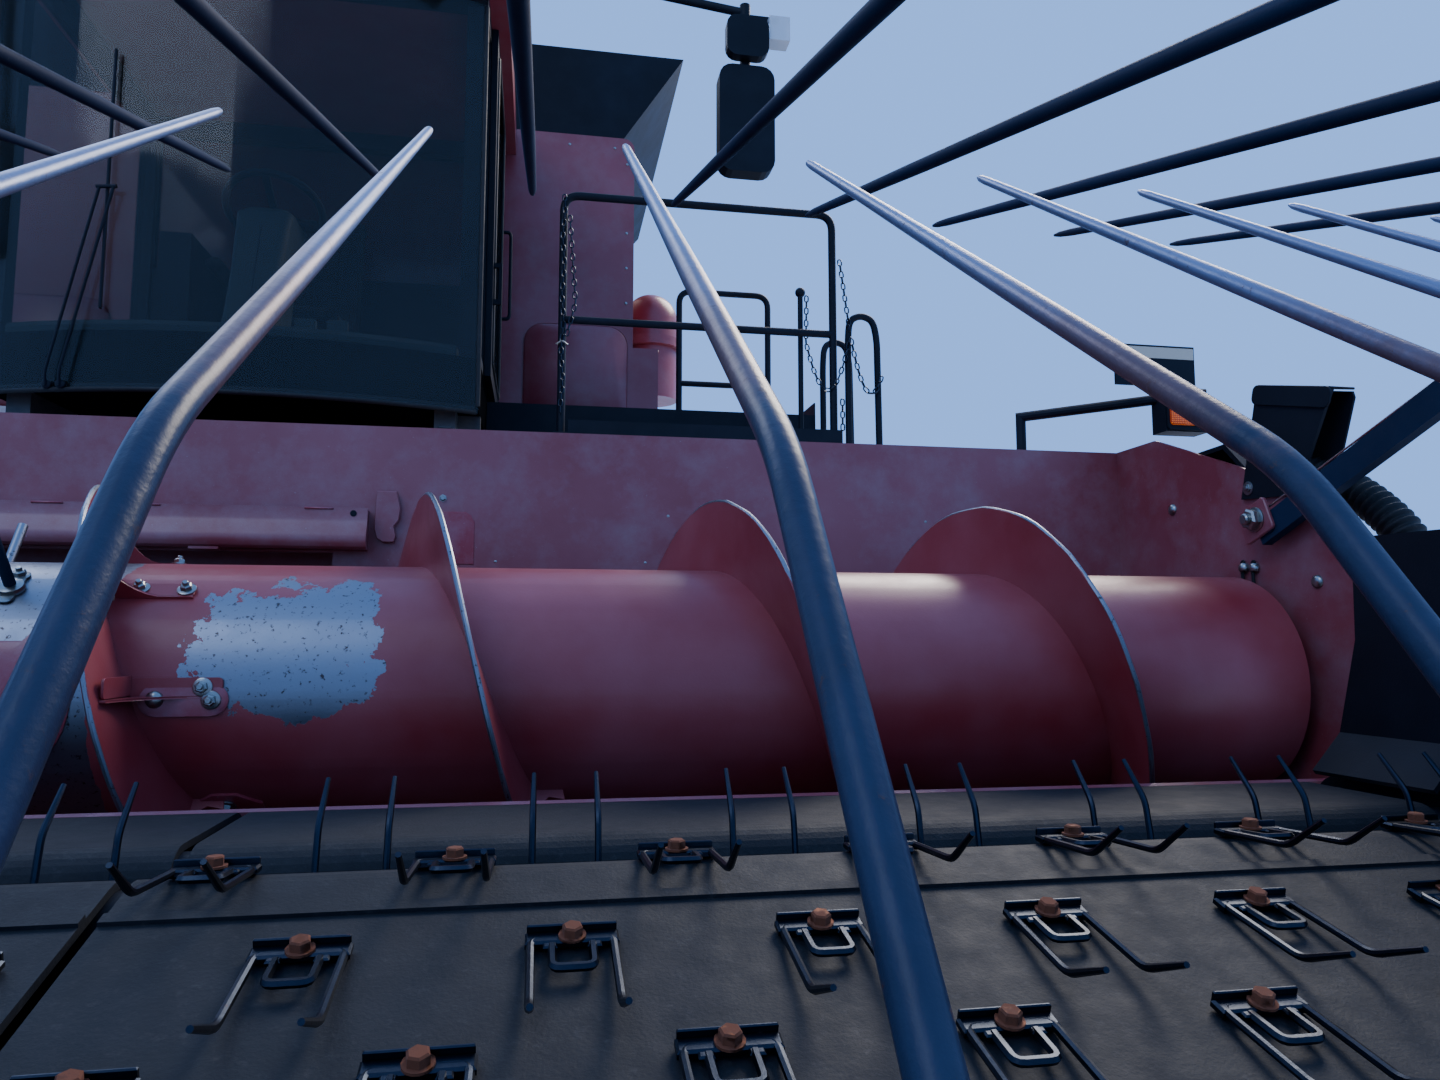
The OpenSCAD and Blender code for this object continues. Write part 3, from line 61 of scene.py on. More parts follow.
# %% [markdown]
# Colours are written as on a paint card, in sRGB hex, and one function turns them to the linear
# values that shaders work in. One more function adds a node, and a few name the usual steps.

# %% Colour and node helpers
def paint_card(code, alpha=1.0):
    """sRGB hex to linear: c/12.92 below 0.04045, else ((c + 0.055)/1.055)^2.4."""
    c = np.array([int(code[i : i + 2], 16) for i in (1, 3, 5)]) / 255.0
    lin = np.where(c <= 0.04045, c / 12.92, ((c + 0.055) / 1.055) ** 2.4)
    return (*lin.tolist(), alpha)


def put(tree, kind, links=(), **settings):
    """Adds one shader node, sets its properties or input sockets and links (socket, from)."""
    node = tree.nodes.new(kind)
    for name, value in settings.items():
        if hasattr(node, name):
            setattr(node, name, value)
        else:
            node.inputs[name.replace("_", " ")].default_value = value
    for socket, source in links:
        tree.links.new(source, node.inputs[socket])
    return node


def start_material(name, **sockets):
    """A new material with its Principled shader's own sockets set."""
    mat = bpy.data.materials.new(name)
    mat.use_nodes = True
    tree = mat.node_tree
    shader = tree.nodes["Principled BSDF"]
    for key, value in sockets.items():
        shader.inputs[key.replace("_", " ")].default_value = value
    return mat, tree, shader


def feed(tree, shader, **sources):
    """Links sockets of other nodes to the shader's own inputs."""
    for key, source in sources.items():
        tree.links.new(source, shader.inputs[key.replace("_", " ")])


def ramp(tree, source, stops):
    """A colour ramp fed by source; each stop is a place and a colour, or a place and a grey value."""
    node = put(tree, "ShaderNodeValToRGB", [("Fac", source)])
    line = node.color_ramp
    while len(line.elements) < len(stops):
        line.elements.new(0.5)
    for element, (place, colour) in zip(line.elements, stops):
        element.position = place
        element.color = colour if isinstance(colour, tuple) else (colour, colour, colour, 1)
    return node.outputs["Color"]


def object_axes(tree):
    """The X, Y and Z sockets of the Object coordinates, which are the machine's own metres."""
    where = put(tree, "ShaderNodeTexCoord").outputs["Object"]
    return put(tree, "ShaderNodeSeparateXYZ", [("Vector", where)]).outputs


def grain(tree, scale, detail=4.0, rough=0.6):
    """Noise on Object coordinates; scale is in cycles per metre."""
    where = put(tree, "ShaderNodeTexCoord").outputs["Object"]
    return put(tree, "ShaderNodeTexNoise", [("Vector", where)], Scale=scale, Detail=detail,
               Roughness=rough).outputs["Fac"]


def blend_colour(tree, factor, a, b):
    """Mixes a and b by factor; each may be a socket or a paint card's hex code."""
    node = tree.nodes.new("ShaderNodeMix")
    node.data_type = "RGBA"
    for slot, value in ((0, factor), (6, a), (7, b)):
        if isinstance(value, str):
            node.inputs[slot].default_value = paint_card(value)
        else:
            tree.links.new(value, node.inputs[slot])
    return node.outputs[2]


def sums(tree, operation, a, b=0.0, c=0.0, clamp=False):
    """One arithmetic step on sockets or numbers."""
    node = tree.nodes.new("ShaderNodeMath")
    node.operation = operation
    node.use_clamp = clamp
    for i, value in enumerate((a, b, c)):
        if isinstance(value, (int, float)):
            node.inputs[i].default_value = value
        else:
            tree.links.new(value, node.inputs[i])
    return node.outputs[0]


def bump(tree, shader, height, distance):
    """Raises the surface by height times distance, in metres."""
    node = put(tree, "ShaderNodeBump", [("Height", height)], Distance=distance)
    feed(tree, shader, Normal=node.outputs["Normal"])


print("mid grey is", paint_card("#808080")[0])

# %% [markdown]
# Farm machinery enamel is a thick sprayed coat. Years in the sun turn its red chalky and a little
# pink, and dust lies in patches, so colour and roughness follow slow noise, with fine orange peel.

# %% Sprayed enamel, red and black
def enamel(name, base, faded, dust, dust_amount=0.35, rough=0.32, coat=0.25, ior=1.5, gloss=0.5):
    """Base fades where slow noise is over 0.35 to 0.7; dust lies where finer noise is over 0.45."""
    mat, tree, shader = start_material(name, Coat_Weight=coat, Coat_Roughness=0.25, IOR=ior,
                                       Specular_IOR_Level=gloss)
    sun = grain(tree, 1.6, 5)
    colour = blend_colour(tree, ramp(tree, sun, [(0.35, 0), (0.7, 1)]), base, faded)
    patch = ramp(tree, grain(tree, 7, 8, 0.7), [(0.45, 0), (0.8, dust_amount)])
    colour = blend_colour(tree, patch, colour, dust)
    specks = ramp(tree, grain(tree, 160, 3), [(0.68, 0), (0.76, 0.5)])
    colour = blend_colour(tree, specks, colour, dust)
    gleam = sums(tree, "MULTIPLY_ADD", grain(tree, 5, 6), 0.3, rough - 0.1)
    feed(tree, shader, Base_Color=colour, Roughness=gleam)
    bump(tree, shader, grain(tree, 320, 2), 0.0002)
    return mat


RED = enamel("red sun-faded enamel", "#7E2A32", "#905058", "#92848A", 0.42, 0.42, coat=0.3)
DRUM_COVER = enamel("red enamel of bolted covers", "#8A1C2A", "#983644", "#A0929A", 0.45, 0.3)
RED_BODY = enamel("red enamel of the body panels", "#7C222B", "#8C3E47", "#86706F", 0.3)
BLACK = enamel("black enamel", "#0B0E15", "#131823", "#2A2E36", 0.2, 0.5, coat=0.0, ior=1.4, gloss=0.22)
UNDERSEAL = enamel("rubbery black underseal", "#08090B", "#0D0E11", "#17171A", 0.3, 0.9, coat=0.0, ior=1.3,
                   gloss=0.0)
GREY = enamel("dark grey chassis paint", "#26282A", "#303234", "#6A6255", 0.55, 0.5)
WHEEL_PAINT = enamel("pale grey wheel enamel", "#A8A69E", "#B8B6AE", "#7C7060", 0.5, 0.4)
print("enamels", len(bpy.data.materials))

# %% [markdown]
# Tempered glass of the cab, tinted green-grey. It lets the seat and the column show darkly and
# mirrors the sky, so it stays smooth, with only a film of dust in its roughness.

# %% Cab glass and lamp glass
def glass(name, tint, alpha, rough=0.04):
    """Tinted, part transparent; its roughness grows by up to 0.16 where dust lies."""
    mat, tree, shader = start_material(name, Base_Color=paint_card(tint), IOR=1.52, Alpha=alpha)
    film = ramp(tree, grain(tree, 3, 6, 0.7), [(0.4, rough), (0.9, rough + 0.16)])
    feed(tree, shader, Roughness=film)
    mat.surface_render_method = "BLENDED"
    return mat


CAB_GLASS = glass("tinted tempered glass", "#141C1C", 0.3)
LAMP_GLASS = glass("clear lamp lens", "#C9CED2", 0.75, 0.1)
print("glasses", CAB_GLASS.name, LAMP_GLASS.name)

# %% [markdown]
# Steel that the crop polishes: bright, with fine scratches and specks of rust where it rests.

# %% Worn steel
def worn_steel(name, bright, dull, rust, rust_from=0.62, rough=0.3):
    """Two greys mixed by noise; where finer noise is over rust_from it is rust, rougher and no metal."""
    mat, tree, shader = start_material(name)
    spots = ramp(tree, grain(tree, 70, 6, 0.7), [(rust_from, 0), (rust_from + 0.1, 1)])
    steel = blend_colour(tree, grain(tree, 25, 6), bright, dull)
    feed(tree, shader, Base_Color=blend_colour(tree, spots, steel, rust),
         Roughness=sums(tree, "MULTIPLY_ADD", spots, 0.4, rough),
         Metallic=sums(tree, "SUBTRACT", 1.0, spots, clamp=True))
    bump(tree, shader, grain(tree, 200, 3), 0.0002)
    return mat


BARE_STEEL = worn_steel("steel polished by the crop", "#B9B9B6", "#8E8C88", "#5A3A28")
ZINC = worn_steel("zinc-plated fasteners", "#A7A9A6", "#7E7F7A", "#5A3A28", 0.66, 0.3)
BOLT_STEEL = worn_steel("rusty bolt steel", "#7A4A34", "#4E3226", "#6B3A22", 0.4, 0.6)
TINE_STEEL = worn_steel("blue-black spring steel", "#2E3642", "#20252E", "#5A3324", 0.66, 0.35)
ROD_STEEL = enamel("blue-grey painted rod", "#1A2436", "#263248", "#3C3A40", 0.3, 0.6, coat=0.0, ior=1.3,
                   gloss=0.1)
print("steels done, materials", len(bpy.data.materials))

# %% [markdown]
# Draper belting is black rubber with a fabric core. Its face is matt, scuffed grey by soil.

# %% Rubber and fabric
def rubber(name, base, worn, soil, rough=0.75, height=0.0006):
    """Two blacks mixed by noise, with soil in spots, and a bump of the given height in metres."""
    mat, tree, shader = start_material(name, IOR=1.5, Specular_IOR_Level=0.3)
    colour = blend_colour(tree, grain(tree, 12, 8, 0.7), base, worn)
    spots = ramp(tree, grain(tree, 90, 6, 0.75), [(0.56, 0), (0.72, 0.8)])
    feed(tree, shader, Base_Color=blend_colour(tree, spots, colour, soil),
         Roughness=sums(tree, "MULTIPLY_ADD", grain(tree, 30, 5), 0.3, rough - 0.15))
    bump(tree, shader, grain(tree, 260, 5), height)
    return mat


BELT = rubber("black draper belting", "#0C0F14", "#161A20", "#302F30", 0.7)
TYRE_RUBBER = rubber("tyre rubber", "#17181A", "#222325", "#6A5F4E", 0.8)
HOSE_RUBBER = rubber("hose rubber", "#101113", "#1B1C1E", "#3A3835", 0.6)
SEAT_CLOTH = rubber("dark woven seat cloth", "#1B1C1F", "#232428", "#34353A", 0.9, 0.0008)
print("materials", len(bpy.data.materials))

# %% [markdown]
# The cross auger is enamelled like the rest, but crop wears it: the middle drum is bare, a patch
# beside each inner flight has lost its paint, and the flight's rim is polished. The wear is a mask
# worked out from the distance to the auger's axis and from the place along it.

# %% Auger finishes
def auger_mask(tree, drum_half, patch, rim_from):
    """1 where |x| < drum_half, |u|^3 + |v|^3 < 1 in the patch, or the radius is over rim_from."""
    xyz = object_axes(tree)
    ragged = sums(tree, "MULTIPLY_ADD", grain(tree, 11, 6, 0.65), 0.5, -0.25)
    across = sums(tree, "ABSOLUTE", xyz[0])
    dy = sums(tree, "SUBTRACT", xyz[1], AUGER_Y)
    dz = sums(tree, "SUBTRACT", xyz[2], AUGER_Z)
    squares = [sums(tree, "MULTIPLY", d, d) for d in (dy, dz)]
    radius = sums(tree, "SQRT", sums(tree, "ADD", *squares))
    middle = sums(tree, "LESS_THAN", sums(tree, "MULTIPLY_ADD", ragged, 0.08, across), drum_half)
    u = sums(tree, "DIVIDE", sums(tree, "SUBTRACT", across, patch[0]), patch[1])
    v = sums(tree, "DIVIDE", sums(tree, "SUBTRACT", dz, patch[2]), patch[3])
    cubes = [sums(tree, "POWER", sums(tree, "ABSOLUTE", w), 3.0) for w in (u, v)]
    spot = sums(tree, "MULTIPLY_ADD", ragged, 9.0, sums(tree, "ADD", *cubes))
    spot = sums(tree, "LESS_THAN", spot, 1.0)
    spot = sums(tree, "MULTIPLY", spot, sums(tree, "LESS_THAN", dy, 0.0))
    rim = sums(tree, "GREATER_THAN", sums(tree, "MULTIPLY_ADD", ragged, 0.02, radius), rim_from)
    return sums(tree, "MAXIMUM", sums(tree, "MAXIMUM", middle, spot), rim)


def worn_enamel(name, drum_half, patch, rim_from):
    """Faded red over bare steel; the mask drops the surface by the paint's own thickness."""
    mat, tree, shader = start_material(name, Coat_Weight=0.15, Coat_Roughness=0.3)
    mask = auger_mask(tree, drum_half, patch, rim_from)
    faded = ramp(tree, grain(tree, 3, 6), [(0.35, 0), (0.7, 1)])
    paint = blend_colour(tree, faded, "#86242A", "#96484E")
    pits = ramp(tree, grain(tree, 130, 4), [(0.6, 0), (0.68, 0.9)])
    steel = blend_colour(tree, pits, "#80858E", "#3A2C28")
    feed(tree, shader, Base_Color=blend_colour(tree, mask, paint, steel), Metallic=mask,
         Roughness=sums(tree, "MULTIPLY_ADD", grain(tree, 20, 6), 0.25, 0.28))
    fine = sums(tree, "MULTIPLY", grain(tree, 240, 3), 0.3)
    bump(tree, shader, sums(tree, "MULTIPLY_ADD", mask, -0.6, fine), 0.0006)
    return mat


NO_PATCH, NO_RIM = (9.0, 0.1, 0.1, 0.1), 1.0
DRUM = worn_enamel("auger drum enamel, worn through", 0.50, (0.765, 0.125, 0.066, 0.105), NO_RIM)
FLIGHTING = worn_enamel("flighting enamel with a polished rim", 0.0, NO_PATCH, 0.3255)
print("auger finishes", DRUM.name, FLIGHTING.name)

# %% [markdown]
# Every CAD node takes the finish of the real piece. Where one finish serves many nodes it is
# given by a short table.

# %% Finishes of the CAD nodes
FINISH = {
    RED: "feeder_house header_shell header_beam header_ribs",
    RED_BODY: "separator_body side_panel_left side_panel_right grain_tank engine_hood rear_hood cab_roof "
              "unloading_elbow unloading_tube straw_chopper",
    UNDERSEAL: "cab_base",
    BLACK: "tank_extension cab_frame cab_door platform handrails ladder mirrors header_shields "
           "header_lamps steering_console pickup_frame",
    GREY: "main_frame front_axle rear_axle knuckle_left knuckle_right tie_rod lift_barrels "
          "engine_block exhaust spreader_left spreader_right",
    WHEEL_PAINT: "front_rim_left front_rim_right rear_rim_left rear_rim_right",
    CAB_GLASS: "windscreen cab_windows door_glass",
    LAMP_GLASS: "work_lamps",
    BARE_STEEL: "lift_rods tank_auger",
    BELT: "pickup_belts",
    TYRE_RUBBER: "front_tyre_left front_tyre_right rear_tyre_left rear_tyre_right "
                 "gauge_wheel_left gauge_wheel_right",
    SEAT_CLOTH: "operator_seat",
    TINE_STEEL: "pickup_tines",
    ROD_STEEL: "windguard windguard_rods",
    DRUM: "auger_tube",
    FLIGHTING: "auger_flights",
}
for material, names in FINISH.items():
    for name in names.split():
        if name in NODES:
            NODES[name].data.materials.clear()
            NODES[name].data.materials.append(material)
print("unfinished", [n for n, o in NODES.items()
                     if not o.data.materials or o.data.materials[0] not in FINISH])

# %% [markdown]
# New pieces are surfaces on a grid: a path of rings, each ring a circle round the path. The frame
# of each ring is carried along the path so that the rod doesn't twist.

# %% Geometry helpers
def unit(v):
    """v over its own length."""
    return v / np.linalg.norm(v, axis=-1, keepdims=True)


def skin(n, m, wrap=False):
    """Four-sided faces between n rings of m points each, the last ring joined to the first if wrap."""
    k, j = np.meshgrid(np.arange(n if wrap else n - 1), np.arange(m), indexing="ij")
    k2, j2 = (k + 1) % n, (j + 1) % m
    return np.stack([k * m + j, k * m + j2, k2 * m + j2, k2 * m + j], -1).reshape(-1, 4)


def fanned(rings, ends):
    """Rings (n, m, 3) as a skin, closed by a fan round a point at each end."""
    n, m = rings.shape[:2]
    s = np.arange(m)
    s2 = (s + 1) % m
    low = np.stack([np.full(m, n * m), s2, s], -1)
    high = np.stack([np.full(m, n * m + 1), (n - 1) * m + s, (n - 1) * m + s2], -1)
    return np.vstack([rings.reshape(-1, 3), ends]), [skin(n, m), np.vstack([low, high])]


def ring_frames(path):
    """Tangents, and two normals carried along the path by removing each new tangent's part."""
    path = np.asarray(path, float)
    t = unit(np.gradient(path, axis=0))
    first = np.cross(t[0], [0.0, 0.0, 1.0] if abs(t[0][2]) < 0.9 else [1.0, 0.0, 0.0])
    a = [unit(first)]
    for k in range(1, len(path)):
        a.append(unit(a[-1] - t[k] * np.dot(a[-1], t[k])))
    a = np.array(a)
    return path, a, np.cross(t, a)


def tube(path, radius, sides=10):
    """Rings of radius r(k) round path(k): p + r (cos u a + sin u b), closed by a point at each end."""
    path, a, b = ring_frames(path)
    r = np.broadcast_to(np.asarray(radius, float), (len(path),))[:, None, None]
    u = np.linspace(0, 2 * np.pi, sides, endpoint=False)[None, :, None]
    rings = path[:, None] + r * (np.cos(u) * a[:, None] + np.sin(u) * b[:, None])
    return fanned(rings, np.vstack([path[:1], path[-1:]]))


def rounded(points, bend=0.02, steps=4):
    """Corners cut by parabolas: (1 - w)^2 a + 2 w (1 - w) p + w^2 b, where a and b are a bend from p."""
    p = np.asarray(points, float)
    out = [p[:1]]
    for k in range(1, len(p) - 1):
        a = p[k] + unit(p[k - 1] - p[k]) * min(bend, np.linalg.norm(p[k - 1] - p[k]) * 0.45)
        b = p[k] + unit(p[k + 1] - p[k]) * min(bend, np.linalg.norm(p[k + 1] - p[k]) * 0.45)
        w = np.linspace(0, 1, steps + 1)[:, None]
        out.append((1 - w) ** 2 * a + 2 * w * (1 - w) * p[k] + w**2 * b)
    out.append(p[-1:])
    return np.vstack(out)


def turned(profile, sides=16, axis=(0, 0, 1), at=(0, 0, 0)):
    """A profile (radius, height) turned about an axis: at + h axis + r (cos u a + sin u b)."""
    profile = np.asarray(profile, float)
    axis = unit(np.asarray(axis, float))
    a = unit(np.cross(axis, [1.0, 0.2, 0.1] if abs(axis[0]) < 0.9 else [0.1, 1.0, 0.2]))
    b = np.cross(axis, a)
    u = np.linspace(0, 2 * np.pi, sides, endpoint=False)[None, :, None]
    round_axis = profile[:, None, 0:1] * (np.cos(u) * a + np.sin(u) * b)
    rings = profile[:, None, 1:2] * axis + round_axis + np.asarray(at, float)
    return fanned(rings, np.array([profile[0, 1] * axis, profile[-1, 1] * axis]) + np.asarray(at, float))


def loft(sections):
    """A skin over closed sections (n, m, 3) in order, with a flat cap on the first and the last."""
    s = np.asarray(sections, float)
    n, m = s.shape[:2]
    return s.reshape(-1, 3), [skin(n, m), np.stack([np.arange(m)[::-1], (n - 1) * m + np.arange(m)])]


def slab(low, high, edge=0.002):
    """A box whose top and bottom edges are broken by edge: four rectangles, one over the other."""
    low, high = np.asarray(low, float), np.asarray(high, float)
    corners = np.array([[0, 0], [1, 0], [1, 1], [0, 1]], float)
    rings = []
    for z, inset in [(low[2], edge), (low[2] + edge, 0.0), (high[2] - edge, 0.0), (high[2], edge)]:
        lo, hi = low[:2] + inset, high[:2] - inset
        rings.append(np.column_stack([lo + corners * (hi - lo), np.full(4, z)]))
    return loft(rings)


def joined(shapes):
    """Several (verts, faces) as one."""
    verts, faces, start = [], [], 0
    for v, groups in shapes:
        verts.append(v)
        faces += [g + start for g in groups]
        start += len(v)
    return np.vstack(verts), faces


def placed(shape, matrices):
    """Copies of a shape by 4x4 matrices, as one shape."""
    v, groups = shape
    m = np.asarray(matrices, float)
    many = np.einsum("kij,nj->kni", m[:, :3, :3], v) + m[:, None, :3, 3]
    step = (np.arange(len(m)) * len(v))[:, None, None]
    return many.reshape(-1, 3), [(g[None] + step).reshape(-1, g.shape[1]) for g in groups]


def one(shape, place):
    """A single copy of a shape at a place."""
    return placed(shape, [place])


def piece(name, shape, material, body, smooth=40.0, stands_for=()):
    """Puts a shape into the scene as one object and lets it ride on its CAD body."""
    verts, groups = shape
    mesh = bpy.data.meshes.new(name)
    mesh.vertices.add(len(verts))
    mesh.vertices.foreach_set("co", np.asarray(verts, np.float32).ravel())
    loops = np.concatenate([g.ravel() for g in groups])
    counts = np.concatenate([np.full(len(g), g.shape[1]) for g in groups])
    mesh.loops.add(len(loops))
    mesh.loops.foreach_set("vertex_index", loops.astype(np.int32))
    mesh.polygons.add(len(counts))
    mesh.polygons.foreach_set("loop_start", np.concatenate([[0], np.cumsum(counts)[:-1]]).astype(np.int32))
    mesh.update(calc_edges=True)
    mesh.validate()
    obj = bpy.data.objects.new(name, mesh)
    bpy.context.scene.collection.objects.link(obj)
    mesh.materials.append(material)
    if smooth:
        mesh.shade_smooth()
        mesh.set_sharp_from_angle(angle=math.radians(smooth))
    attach(obj, body)
    if stands_for:
        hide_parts(*stands_for)
    print(name, len(verts), "vertices")
    return obj


# %% [markdown]
# Sheet parts are outlines given a thickness, with their edges broken as a deburred edge is. Most
# of the header is the same on its left and right, so one function gives both sides.

# %% Sheet helpers
def frame_matrix(x, y, z, at):
    """4x4 from three axis vectors and a place."""
    m = np.eye(4)
    m[:3, 0], m[:3, 1], m[:3, 2], m[:3, 3] = x, y, z, at
    return m


def axes(x, z, at):
    """4x4 whose first axis is x and third axis is z."""
    x, z = unit(np.asarray(x, float)), unit(np.asarray(z, float))
    return frame_matrix(x, np.cross(z, x), z, at)


def facing_ahead(at):
    """4x4 of a part that is seen from in front: u to the machine's left, v up, thickness forward."""
    return frame_matrix([1, 0, 0], [0, 0, 1], [0, -1, 0], at)


def facing_rear(at):
    """4x4 of a part that is seen from behind: v up, thickness to the rear."""
    return frame_matrix([-1, 0, 0], [0, 0, 1], [0, 1, 0], at)


def upright(at):
    """4x4 of a part that lies as it was drawn."""
    return frame_matrix([1, 0, 0], [0, 1, 0], [0, 0, 1], at)


def plate(outline, thick, place, edge=0.0008):
    """An outline (u, v) counted anticlockwise, given a thickness along w, by a 4x4 place."""
    o = np.asarray(outline, float)
    inward = unit(o.mean(0) - o)
    levels = [(0.0, edge), (edge, 0.0), (thick - edge, 0.0), (thick, edge)]
    flat = np.array([np.column_stack([o + e * inward, np.full(len(o), h)]) for h, e in levels])
    return loft(flat @ place[:3, :3].T + place[:3, 3])


def arc(cx, cy, r, start, end, steps):
    """Points (cx + r cos a, cy + r sin a), with a in degrees from start to end."""
    a = np.radians(np.linspace(start, end, steps))
    return np.column_stack([cx + r * np.cos(a), cy + r * np.sin(a)])


def round_outline(w, h, r, steps=4):
    """A w by h rectangle with corners of radius r, about its middle."""
    x, y = w / 2 - r, h / 2 - r
    return np.vstack([arc(cx, cy, r, a, a + 90, steps + 1)
                      for cx, cy, a in ((x, y, 0), (-x, y, 90), (-x, -y, 180), (x, -y, 270))])


def both_sides(shape):
    """The shape and its mirror image across the machine's middle."""
    v, groups = shape
    return joined([shape, (v * [-1.0, 1.0, 1.0], [g[:, ::-1] for g in groups])])


WASHER_BOLT = joined([turned([(0.0135, 0), (0.0135, 0.0022), (0.012, 0.003)], 18),
                      turned([(0.0088, 0.003), (0.0088, 0.0095), (0.0066, 0.0112)], 6),
                      turned([(0.0045, 0.0112), (0.0045, 0.0155), (0.0035, 0.0165)], 10)])
DOME_HEAD = turned([(0.0125, 0), (0.0122, 0.002), (0.0105, 0.0045), (0.007, 0.0065), (0.002, 0.0074)], 18)
print("bolt corners", len(WASHER_BOLT[0]))

# %% [markdown]
# Each belt carries spring tines in rows: a wire bent to two legs, clipped by a folded plate with a
# tongue and one bolt. One clip is built flat on the belt, then placed round the belt's whole loop:
# down the top run, round the front roller, back below and up the rear roller, where the legs
# stand out and comb the crop off onto the transfer belt. Every other row sits half a step aside.

# %% Spring tine clips
BELT_Y1, BELT_Z1 = CAM_Y + 1.0, 0.427
BELT_LEN, BELT_OUT_R = 1.08, 0.058
SLOPE = math.radians(16)
BELT_STEP, BELT_W, TINE_ROWS = 1.524, 1.51, 18
TINE_STEP = (BELT_W - 0.238) / 6
HALF_TURN = math.pi * BELT_OUT_R
LOOP = 2 * BELT_LEN + 2 * HALF_TURN
# The first row has just come over the rear roller; the last step, at the lacing, is a short one
ROW_START = -0.0145
ROW_STEP = (LOOP - 0.100) / (TINE_ROWS - 1)
LEG_RISE, TIP_RISE, LEG_X = math.radians(4.6), math.radians(36), 0.034


def belt_frame(s):
    """Place and axes at distance s round a belt: straight, half turn, straight, half turn."""
    down = np.array([0.0, -math.cos(SLOPE), -math.sin(SLOPE)])
    rear = np.array([0.0, BELT_Y1, BELT_Z1])
    front = rear + BELT_LEN * down
    lap = BELT_LEN + HALF_TURN
    turned_by = 0.0 if s % lap < BELT_LEN else math.pi * (s % lap - BELT_LEN) / HALF_TURN
    angle = SLOPE + turned_by + (math.pi if s >= lap else 0.0)
    if s < lap:
        centre = rear + min(s, BELT_LEN) * down
    else:
        centre = front - min(s - lap, BELT_LEN) * down
    normal = np.array([0.0, -math.sin(angle), math.cos(angle)])
    back = np.array([0.0, math.cos(angle), math.sin(angle)])
    return centre + BELT_OUT_R * normal, back, normal


def leg(side):
    """Wire from under the plate out to the side, 99 mm down the belt and 58 mm up to the tip."""
    start = np.array([[side * 0.016, 0.003, 0.0060], [side * LEG_X, 0.003, 0.0060]])
    knee = start[-1] + 0.099 * np.array([0.0, -math.cos(LEG_RISE), math.sin(LEG_RISE)])
    tip = knee + 0.058 * np.array([side * -0.01, -math.cos(TIP_RISE), math.sin(TIP_RISE)])
    path = rounded([start[0], start[1], knee, tip], 0.010, 3)
    return tube(path, np.r_[np.full(len(path) - 1, 0.0036), 0.0026], 8)


def clip_plate():
    """A folded plate across the wire with a lip behind, and its tongue: a springy loop of strip."""
    bridge = slab([-0.0385, -0.005, 0.0015], [0.0385, 0.011, 0.0095], 0.002)
    lip = slab([-0.037, 0.0095, 0.002], [0.037, 0.0125, 0.0155], 0.001)
    shoulders = [slab([x - 0.006, -0.011, 0.004], [x + 0.006, -0.004, 0.0088], 0.0015)
                 for x in (-0.018, 0.018)]
    loop = [[-0.0165, -0.006, 0.0065], [-0.0165, -0.042, 0.0100],
            [0.0165, -0.042, 0.0100], [0.0165, -0.006, 0.0065]]
    return joined([bridge, lip, *shoulders, tube(rounded(loop, 0.007, 3), 0.0038, 6)])


def hex_bolt():
    """A hexagon head with a chamfered top on a washer, standing on z = 0."""
    washer = turned([(0.0115, 0.0), (0.0115, 0.0022)], 14)
    return joined([washer, turned([(0.0088, 0.0022), (0.0088, 0.009), (0.0088 * 0.8, 0.0104)], 6)])


clip_places = []
for belt in (-1, 0, 1):
    for row in range(TINE_ROWS):
        origin, back, normal = belt_frame((ROW_START + row * ROW_STEP) % LOOP)
        for j in range(-3, 4):
            aside = belt * BELT_STEP + (j + (row % 2) / 2 - 0.25) * TINE_STEP
            clip_places.append(frame_matrix([1, 0, 0], back, normal, origin + [aside, 0, 0]))
bolt_places = [m @ upright((0, 0.002, 0.0092)) for m in clip_places]
piece("spring_tines", placed(joined([leg(-1), leg(1)]), clip_places), TINE_STEEL, "pickup",
      stands_for=["pickup_tines"])
piece("tine_plates", placed(clip_plate(), clip_places), TINE_STEEL, "pickup")
piece("tine_bolts", placed(hex_bolt(), bolt_places), BOLT_STEEL, "pickup", smooth=30)

# %% [markdown]
# The windguard's rods press the swath down onto the belts. A straight row lies back over the
# auger. A second row comes down in front, turns under on a wide arc, is cranked and rises again.
# They are drawn bar, tapered to a blunt tip, and the rubbing crop has worn the paint off the tips.

# %% Windguard rods
TUBE_Y, TUBE_Z, TUBE_R = CAM_Y - 0.36, 0.77, 0.045
ROD_STEP, ROD_R, STRAIGHT_ASIDE, CRANKED_ASIDE = 0.23, 0.008, -0.05, 0.065
ROD_ROW = range(-10, 11)
CRANK = np.array([CAM_Y + 0.381, 0.776])
TIP = np.array([CAM_Y + 1.167, 1.300])


